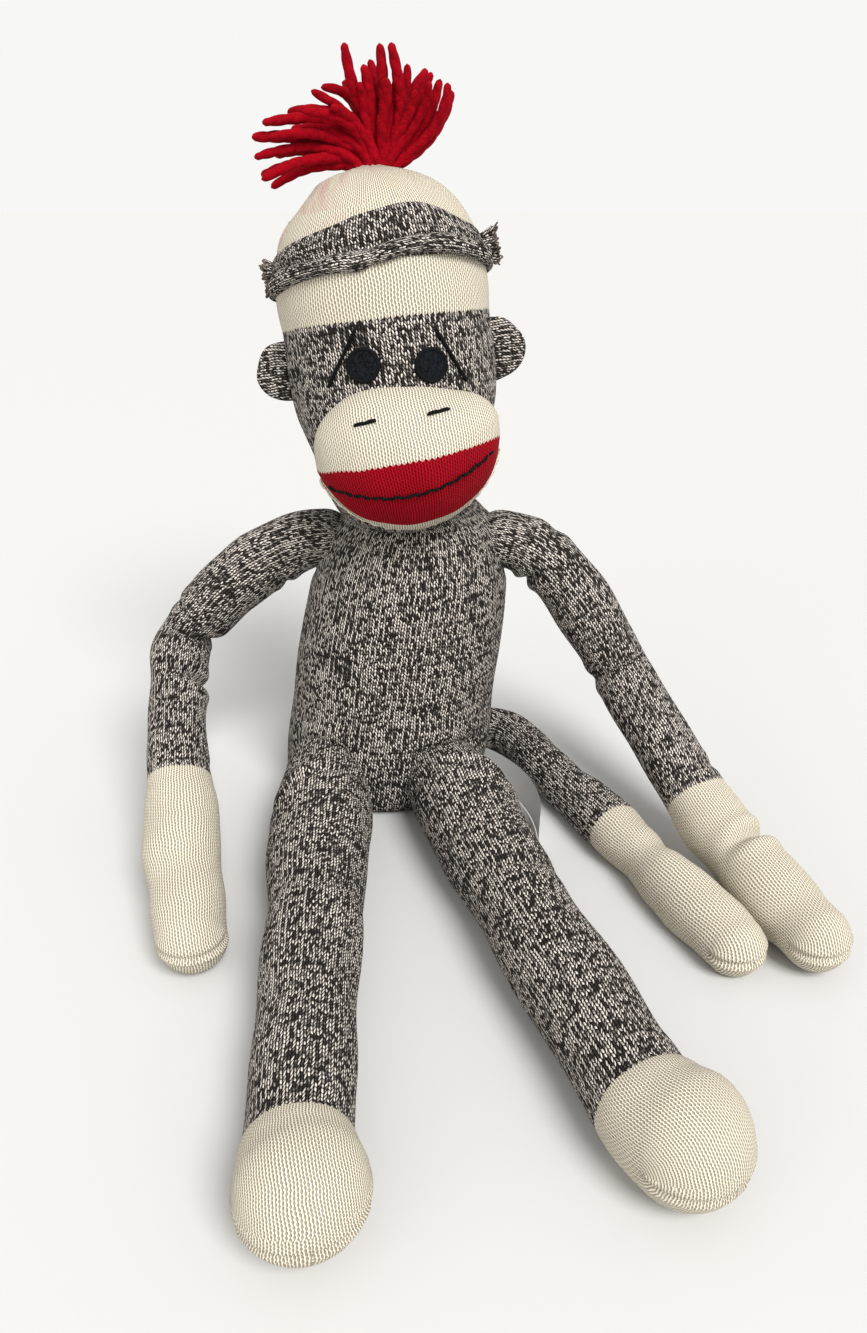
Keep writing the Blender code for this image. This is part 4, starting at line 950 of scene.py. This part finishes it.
def brim_corner(word, side, seed):
    """Where the rolled edge is gathered at the side of the hat: a short flaring ruffle, and its raw edge."""
    run = run_of(CORNER_ROWS[:, :3])
    at = np.linspace(0, run[-1], 60)
    out, high, thick, ruffle = (table_curve(run, CORNER_ROWS[:, k], at)[:, None] for k in range(4))
    around = turns_of(CORNER_COLUMNS, -math.pi / 2)
    wave = (np.sin(around * 6 + seed) + 0.5 * np.sin(around * 11 + 2 * seed)) * ruffle
    inward, lower, size = (0.0026, 0.0012, 0.88) if side < 0 else (0.0010, 0.0, 1.0)
    flare = side * (out + 0.6 * np.cos(around * 3 + seed) * ruffle)
    points = size * np.stack([flare, (thick + wave) * np.cos(around), (high + wave) * np.sin(around)], -1)
    place = BRIM @ move(side * (HALF_WIDE + 0.0002 - inward), 0, 0.0099 - lower)
    corner = lay_grid(f"brim_corner_{word}", to_world(place, points), wales_over(CORNER_COLUMNS, CORNER_WALES),
                      at / COURSE, end=place @ Vector((side * 0.0040, 0, 0)))
    rim = points[int(np.argmax(at >= run[5]))]
    rng = np.random.default_rng(seed)
    loops = []
    for k in range(0, CORNER_COLUMNS, 4):
        base = rim[k]
        outward = unit(base * np.array((0, 1, 1))) * rng.uniform(-0.2, 0.7) + np.array((side, 0, 0))
        curl = rng.normal(size=3) * 0.0006
        reach = rng.uniform(0.0010, 0.0022) * (1.5 if k in (20, 24) else 1)
        last = rim[(k + 3) % CORNER_COLUMNS] - outward * 0.0005
        line = bezier(base - outward * 0.001, base + outward * reach * 1.6 + curl, last, 12)
        loops.append(yarn_tube(to_world(place, line), 0.00042, 6))
    return corner, join_tubes(f"brim_fray_{word}", loops)


ear_knit = knit("knit_ear", "marl")
fray_yarn = thread("marl_yarn", (0.16, 0.12, 0.10), 2.0, 0.85, 0.6)
for word, side, halves in (("left", -1, (0.0150, 0.0066, 0.0134)), ("right", 1, (0.0158, 0.0066, 0.0148))):
    ear = ear_pad(f"ear_skin_{word}", HEAD @ move(side * HALF_WIDE, 0, 0.0732), halves, 40 + side)
    dress(ear, ear_knit, "head", [f"ear_{word}"])
    corner, fray = brim_corner(word, side, 50 + side)
    dress(corner, ear_knit, "head", [f"brim_tab_{word}"])
    dress(fray, fray_yarn, "head")


# Limbs
TUBE_COLUMNS = 96
TUBE_STEP = 0.0012
DOME_ROWS = 15


class Limb:
    """One stuffed tube with one stitch map, from which pieces are cut that meet without a step.

    radii is a table of millimetres along it. cuff is the run where the cream knit starts, on a whole course.
    """

    def __init__(self, name, path, radii, wales, side, cuff, effects, drop):
        path, _ = resample(np.asarray(path, float), TUBE_STEP)
        self.path, self.run = resample(soften(path, 9), TUBE_STEP)
        self.length = self.run[-1]
        self.radius = table_curve([r[0] for r in radii], [r[1] * MM for r in radii], self.run)
        self.tangent, self.across, self.through = frames_along(self.path, side)
        self.angles = turns_of(TUBE_COLUMNS, -math.pi / 2)
        self.wales = wales
        self.cuff = cuff
        self.cuff_row = int(round(cuff / COURSE))
        self.effects = [*effects, self.toe_seam(drop)]
        self.knit = knit(f"knit_{name}", "marl", "cream", self.cuff_row)

    def mark(self, run, back=0):
        """The place of the first ring past a run, or of one before it."""
        return self.run[np.searchsorted(self.run, run) - back]

    def at(self, run):
        return self.path[np.searchsorted(self.run, run)]

    def toe_seam(self, drop):
        """The level seam that closes the end: a furrow with a small ridge above and below it."""
        centre, r = self.path[-1], self.radius[-1]

        def effect(points, radial, run, radius):
            share = np.clip((run[:, None] - self.length + r * 0.25) / (r * 0.6), 0, 1)
            t = (points[..., 2] - centre[2] + drop * r) / 0.0013
            return points - unit(points - centre) * (0.0011 * share * fold(t, 0.5, 2.0, 0.9))[..., None]
        return effect

    def cut(self, name, low, high, round_start=False, round_end=False, floor=True, finer=1.0):
        """A piece of the tube as a skin. Finer knit has more and smaller stitches."""
        wales, course = self.wales * finer, COURSE / finer
        keep = (self.run >= low - 1e-9) & (self.run <= high + 1e-9)
        tables = (self.path, self.run, self.radius, self.tangent, self.across, self.through)
        centre, run, radius, tangent, across, through = (table[keep] for table in tables)
        turns = np.arange(1, DOME_ROWS + 1) / (DOME_ROWS + 1) * math.pi / 2
        start = end = None
        if round_start:
            r, a = radius[0], turns[::-1]
            start = centre[0] - tangent[0] * r
            centre = np.concatenate([centre[0] - tangent[0] * (r * np.sin(a))[:, None], centre])
            radius = np.concatenate([r * np.cos(a), radius])
            run = np.concatenate([run[0] - r * a, run])
        if round_end:
            r, a = radius[-1], turns
            end = centre[-1] + tangent[-1] * r
            centre = np.concatenate([centre, centre[-1] + tangent[-1] * (r * np.sin(a))[:, None]])
            radius = np.concatenate([radius, r * np.cos(a)])
            run = np.concatenate([run, run[-1] + r * a])
        added = ((DOME_ROWS * round_start, DOME_ROWS * round_end), (0, 0))
        across, through = (np.pad(lines, added, mode='edge') for lines in (across, through))
        radial = rings_of(across, through, self.angles)
        points = centre[:, None] + radial * radius[:, None, None]
        for effect in self.effects:
            points = effect(points, radial, run, radius)
        if floor:
            points = settle(points)
        u = wales_over(TUBE_COLUMNS, wales)
        v = self.cuff_row + (run - self.cuff) / course
        if not round_end:
            return lay_grid(name, points, u, v, start=start, end=end)
        # over the rounded end the wales run straight on to the seam, on top and below
        step = math.tau / TUBE_COLUMNS
        k = wales / math.tau
        top = math.atan2(through[-1][2], across[-1][2])
        free = self.angles + step / 2 - top
        middle = (free + math.pi) % math.tau - math.pi
        above = np.abs(middle) < math.pi / 2
        u_top = (top + math.pi / 2) * k + (free - middle) * k
        first = len(run) - DOME_ROWS - 1
        stretch = radius[first] / course
        sides = []
        for half, edge in ((-step / 2, u[:-1]), (step / 2, u[1:])):
            theta = middle + half
            u_side = np.repeat(edge[None], len(run), 0)
            v_side = np.repeat(v[:, None], TUBE_COLUMNS, 1)
            for row, a in enumerate(turns, start=first + 1):
                lateral = np.arcsin(np.clip(np.sin(theta) * math.cos(a), -1, 1))
                below = np.sign(middle) * (math.pi - np.abs(lateral))
                u_side[row] = u_top + k * np.where(above, lateral, below)
                v_side[row] = v[first] + stretch * np.arctan2(math.sin(a), np.abs(np.cos(theta)) * math.cos(a))
            sides.append((u_side, v_side))
        pole = (u_top + k * np.where(above, 0, np.sign(middle) * math.pi),
                np.full(TUBE_COLUMNS, v[first] + stretch * math.pi / 2))
        u_sides, v_sides = zip(*sides)
        return lay_grid(name, points, u_sides, v_sides, start=start, end=end, end_map=pole)


# Arms
ARM_WALES = 39
UPPER_ARM, FOREARM, HAND = 0.095, 0.079, 0.108
HAND_END = 0.015
CUFF_GAP = 0.0003


def arm_path(side, root, splays, shares, level_share, bow):
    """The arm's line, and the runs of its elbow and wrist and of its end."""
    upper_splay, lower_splay, hand_splay = (math.radians(a) for a in splays)
    elbow = link_end(root, UPPER_ARM, upper_splay, side, root[2] * shares[0])
    wrist = link_end(elbow, FOREARM, lower_splay, side, root[2] * shares[1])
    palm = wrist + unit(wrist - elbow) * (CUFF_GAP + HAND * 0.26)
    tip = link_end(palm, HAND * 0.74 - HAND_END, hand_splay, side, HAND_END - 0.0005)
    upper = bezier(root, root + np.array((side * UPPER_ARM * level_share, 0, 0)), elbow)
    lower = bezier(elbow, (elbow + wrist) / 2 + np.array((2 * bow, 0, 0)), wrist)
    path = np.concatenate([upper, lower[1:], bezier(wrist, palm, tip)[1:]])
    run = run_of(path)
    return path, run[len(upper) - 1], run[len(upper) + 38], run[-1]


for word, side, values in (("left", -1, ((88, -7, -16.5), (0.60, 0.29), 0.35, -0.0024)),
                           ("right", 1, ((83, 24.5, 21.5), (0.49, 0.222), 0.27, 0.0))):
    path, elbow, wrist, length = arm_path(side, JOINT[f"shoulder_{word}"], *values)
    if side < 0:
        radii = [(elbow * 0.72, 15.8), (elbow - 0.008, 14.2), (elbow + 0.007, 15.2), (elbow + 0.024, 14.2),
                 (elbow + 0.050, 14.5), (wrist, 15.2), (wrist + 0.014, 17.2), (wrist + 0.036, 17.4),
                 (wrist + 0.062, 16.6), (length - 0.012, 15.8), (length, 15.0)]
        folds = [crease(elbow - 0.010, (0.85, -0.1, -0.5), 0.0042, 0.0034, puff=0.12),
                 crease(elbow + 0.024, (0.9, -0.3, 0.3), 0.0050, 0.0034, 0.003, grip=1.0, puff=0.2),
                 crease(elbow - 0.016, (-0.6, -0.3, 0.7), 0.0010, 0.0026),
                 crease(wrist - 0.004, (0.0, 0.6, -0.6), 0.0016, 0.0030),
                 crease(0.030, (0.2, -0.7, -0.7), 0.0016, 0.0030)]
    else:
        radii = [(elbow * 0.75, 15.9), (elbow, 15.3), (elbow + 0.030, 15.6), (wrist - 0.020, 15.4),
                 (wrist, 15.2), (wrist + 0.018, 16.2), (wrist + 0.037, 15.2), (wrist + 0.053, 16.8),
                 (wrist + 0.074, 16.6), (length - 0.012, 15.2), (length, 14.4)]
        folds = [crease(elbow - 0.002, (-0.8, -0.1, -0.6), 0.0014, 0.0032),
                 crease(0.024, (-0.5, -0.5, -0.9), 0.0026, 0.0030),
                 crease(0.020, (0.2, -0.2, 0.9), 0.0012, 0.0030),
                 crease(wrist + 0.038, (0.45, 0.3, 0.9), 0.0044, 0.0036, -0.002),
                 crease(wrist - 0.010, (0.4, 0.3, 0.9), 0.0010, 0.0030)]
    radii = [(0, 14.0), (0.010, 14.4), (0.030, 16.0), *radii]
    effects = [uneven(0.03, 0.0006, 60 + side), *folds]
    limb = Limb(f"arm_{word}", path, radii, ARM_WALES, (0, -side, 0), wrist, effects, -0.05)
    upper_end, forearm_end = limb.mark(elbow - 0.026, 1), limb.mark(wrist)
    upper = limb.cut(f"upper_arm_skin_{word}", 0, upper_end, round_start=True, floor=False)
    dress(upper, limb.knit, f"upper_arm_{word}", [f"upper_arm_{word}"])
    lower = limb.cut(f"forearm_skin_{word}", upper_end, forearm_end)
    bend = (f"upper_arm_{word}", f"forearm_{word}", limb.at(elbow - 0.013), limb.at(elbow + 0.013))
    dress(lower, limb.knit, None, [f"forearm_{word}"], bend)
    hand = limb.cut(f"hand_skin_{word}", forearm_end, limb.length, round_end=True)
    dress(hand, limb.knit, f"forearm_{word}", [f"hand_{word}"])


# Legs
LEG_WALES = 52
THIGH, LEG, FOOT_RADIUS = 0.108, 0.258, 0.0220
KNEE_WIDTH, ANKLE_WIDTH = 0.0405, 0.0385
SUNK = 0.0005
# splays of thigh, shin and foot, shin's length, and half widths at the knee, down the shin and at the instep
for word, side, splays, shin_length, sizes in (
        ("left", -1, (-2.5, -3.3, -11), 0.1105, (20.3, 19.5, 19.1, 20.9)),
        ("right", 1, (17.1, 19.6, 30), 0.1075, (20.6, 20.6, 20.3, 20.5))):
    thigh_splay, shin_splay, foot_splay = (math.radians(a) for a in splays)
    hip = JOINT[f"hip_{word}"]
    knee = link_end(hip, THIGH, thigh_splay, side, KNEE_WIDTH / 2 - SUNK)
    ankle = link_end(knee, shin_length, shin_splay, side, ANKLE_WIDTH / 2 - SUNK)
    toe = link_end(ankle, LEG - THIGH - shin_length - FOOT_RADIUS, foot_splay, side, FOOT_RADIUS - SUNK)
    foot_path = bezier(ankle, ankle + unit(ankle - knee) * np.linalg.norm(toe - ankle) / 2, toe, 20)
    path = np.concatenate([[hip], [knee], [ankle], foot_path[1:]])
    cuff = THIGH + shin_length
    radii = [(0, 21.0), (0.026, 24.0), (0.066, 23.4), (THIGH, sizes[0]), (THIGH + 0.035, sizes[1]),
             (THIGH + 0.070, sizes[2]), (cuff, 19.6), (cuff + 0.009, sizes[3]), (run_of(path)[-1], 22.0)]
    folds = [crease(THIGH - 0.002, (0, 0, 1), 0.0008, 0.005, grip=1.0),
             crease(0.030, (0.3 * side, 0, 1), 0.0024, 0.0036, 0.008 * side, grip=0.8),
             crease(cuff - 0.003, (0.2, 0, 1), 0.0007, 0.004, grip=0.8)]
    effects = [uneven(0.045, 0.0008, 70 + side), *folds]
    limb = Limb(f"leg_{word}", path, radii, LEG_WALES, (-1, 0, 0), cuff, effects, 0.10)
    thigh_end, shin_end = limb.mark(THIGH - 0.024), limb.mark(cuff)
    thigh = limb.cut(f"thigh_skin_{word}", 0, thigh_end, round_start=True)
    out = Vector(unit(knee - hip))
    hip, knee = Vector(hip), Vector(knee)
    bend = ("torso", f"thigh_{word}", hip + out * 0.002, hip + out * 0.034)
    dress(thigh, limb.knit, None, [f"thigh_{word}"], bend)
    shin = limb.cut(f"shin_skin_{word}", thigh_end, shin_end)
    bend = (f"thigh_{word}", f"shin_{word}", knee - out * 0.016, knee + out * 0.016)
    dress(shin, limb.knit, None, [f"shin_{word}"], bend)
    foot = limb.cut(f"foot_skin_{word}", shin_end, limb.length, round_end=True, finer=1.22)
    dress(foot, limb.knit, f"shin_{word}", [f"foot_{word}"])


# Tail, which leaves the body level, bends forward and ends in a cream tip
TAIL_WALES = 30
TAIL_STRAIGHT, TAIL_BEND, TAIL_MARL, TAIL_TIP = 0.034, 0.020, 0.096, 0.104
TAIL_SPLAY = math.radians(25.5)
TAIL_END = 0.01425
arc = math.pi / 2 - TAIL_SPLAY
bend = np.linspace(0, arc, 16)[1:]
straight = JOINT["tail_root"] + np.array([[0.0, 0, 0], [TAIL_STRAIGHT, 0, 0]])
curve = straight[-1] + TAIL_BEND * np.stack([np.sin(bend), np.cos(bend) - 1, 0 * bend], -1)
bent = TAIL_STRAIGHT + TAIL_BEND * arc
cuff = bent + TAIL_MARL
length = cuff + TAIL_TIP - TAIL_END
path = np.concatenate([straight, curve, [curve[-1] + heading(TAIL_SPLAY, 1) * (length - bent)]])
radii = [(0, 11.75), (0.05, 11.75), (0.09, 12.2), (cuff - 0.02, 13.2), (cuff, 14.1), (cuff + 0.027, 11.8),
         (cuff + 0.045, 13.4), (cuff + 0.064, 14.7), (length - 0.008, 14.2), (length, 13.2)]
folds = [crease(TAIL_STRAIGHT + 0.010, (-0.6, -0.8, 0.5), 0.0028, 0.0030),
         crease(TAIL_STRAIGHT + 0.034, (-0.6, -0.6, 0.6), 0.0012, 0.0028),
         crease(cuff + 0.030, (0.8, 0.3, 0.8), 0.0012, 0.0050)]
limb = Limb("tail", path, radii, TAIL_WALES, (0, -1, 0), cuff, [uneven(0.03, 0.0006, 80), *folds], 0.0)
tail = limb.cut("tail_skin", 0, limb.mark(cuff), round_start=True)
dress(tail, limb.knit, "tail", ["tail"])
tip = limb.cut("tail_tip_skin", limb.mark(cuff), limb.length, round_end=True)
dress(tip, limb.knit, "tail", ["tail_tip"])


# Label
LABEL_WIDTH = 0.019
LABEL_LENGTH = 0.075
LABEL_ROWS = 40
LABEL_COLUMNS = 12
LABEL_SPLAYS = (50, -8)


def paint_satin(net):
    u, v = net.stitch_map()
    cross = net.noise(net.join(u * 40.0, v * 6.0), 3.0)
    colour = net.mix(net.ramp(cross, 0.3, 0.7), (0.66, 0.665, 0.66, 1), (0.80, 0.80, 0.79, 1))
    return colour, cross * 0.14 + 0.31, net.sine(u * 60)


low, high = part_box("label")
place = np.array((low.x, high.y, 0.0))
line = []
for splay in np.radians(np.linspace(*LABEL_SPLAYS, LABEL_ROWS)):
    line.append(place)
    place = place + heading(splay, 1) * LABEL_LENGTH / (LABEL_ROWS - 1)
line = np.array(line)
rise = np.linspace(0, 1, LABEL_COLUMNS)
lean = 0.0016 * np.sin(np.arange(LABEL_ROWS) / LABEL_ROWS * math.pi)[:, None] * rise**2
points = line[:, None] + np.stack([lean, 0 * lean, 0 * lean + 0.0007 + LABEL_WIDTH * rise], -1)
label = lay_grid("label_ribbon", points, rise, run_of(line) / LABEL_WIDTH, wrap=False)
satin = new_material("white_satin", paint_satin, {"Sheen Weight": 0.05, "Anisotropic": 0.4}, 0.15, 0.0002)
dress(label, satin, "torso", ["label"])


# Floor and light
FLOOR = 6
floor_mesh = bpy.data.meshes.new("floor")
corners = [(x * FLOOR, y * FLOOR, 0) for x, y in ((-1, -1), (1, -1), (1, 1), (-1, 1))]
floor_mesh.from_pydata(corners, [], [(0, 1, 2, 3)])
floor = add_object("floor", floor_mesh)
floor_mesh.materials.append(new_material("floor_paper", lambda net: ((0.56, 0.556, 0.545, 1), 0.9, None), {}))


def lamp(name, kind, direction, power):
    """A light that shines along a direction."""
    data = bpy.data.lights.new(name, kind)
    data.energy = power
    built = add_object(name, data)
    built.rotation_euler = Vector(direction).to_track_quat('-Z', 'Y').to_euler()
    return built


sun = lamp("sun", 'SUN', (-0.45, 0.75, -1.0), 3.5)
sun.data.angle = math.radians(28)
FILL_PLACE = Vector((-1.20, -1.30, 0.60))
fill = lamp("fill", 'AREA', Vector((0.0, -0.05, 0.12)) - FILL_PLACE, 5)
fill.location = FILL_PLACE
fill.data.shape = 'DISK'
fill.data.size = 1.2

world = bpy.data.worlds.new("world")
bpy.context.scene.world = world
world.use_nodes = True
net = Net(world.node_tree)
rays = net.new("ShaderNodeLightPath").outputs
seen = 0.0
for kind in ("Is Camera Ray", "Is Glossy Ray", "Is Transmission Ray"):
    seen = net.math('MAXIMUM', seen, Signal(net, rays[kind]))
background = world.node_tree.nodes["Background"].inputs
net.put(background["Color"], net.mix(seen, (1.0, 0.99, 0.97, 1), (0.93, 0.93, 0.92, 1)))
net.put(background["Strength"], seen * 0.22 + 0.78)
bpy.context.scene.view_settings.view_transform = 'Standard'
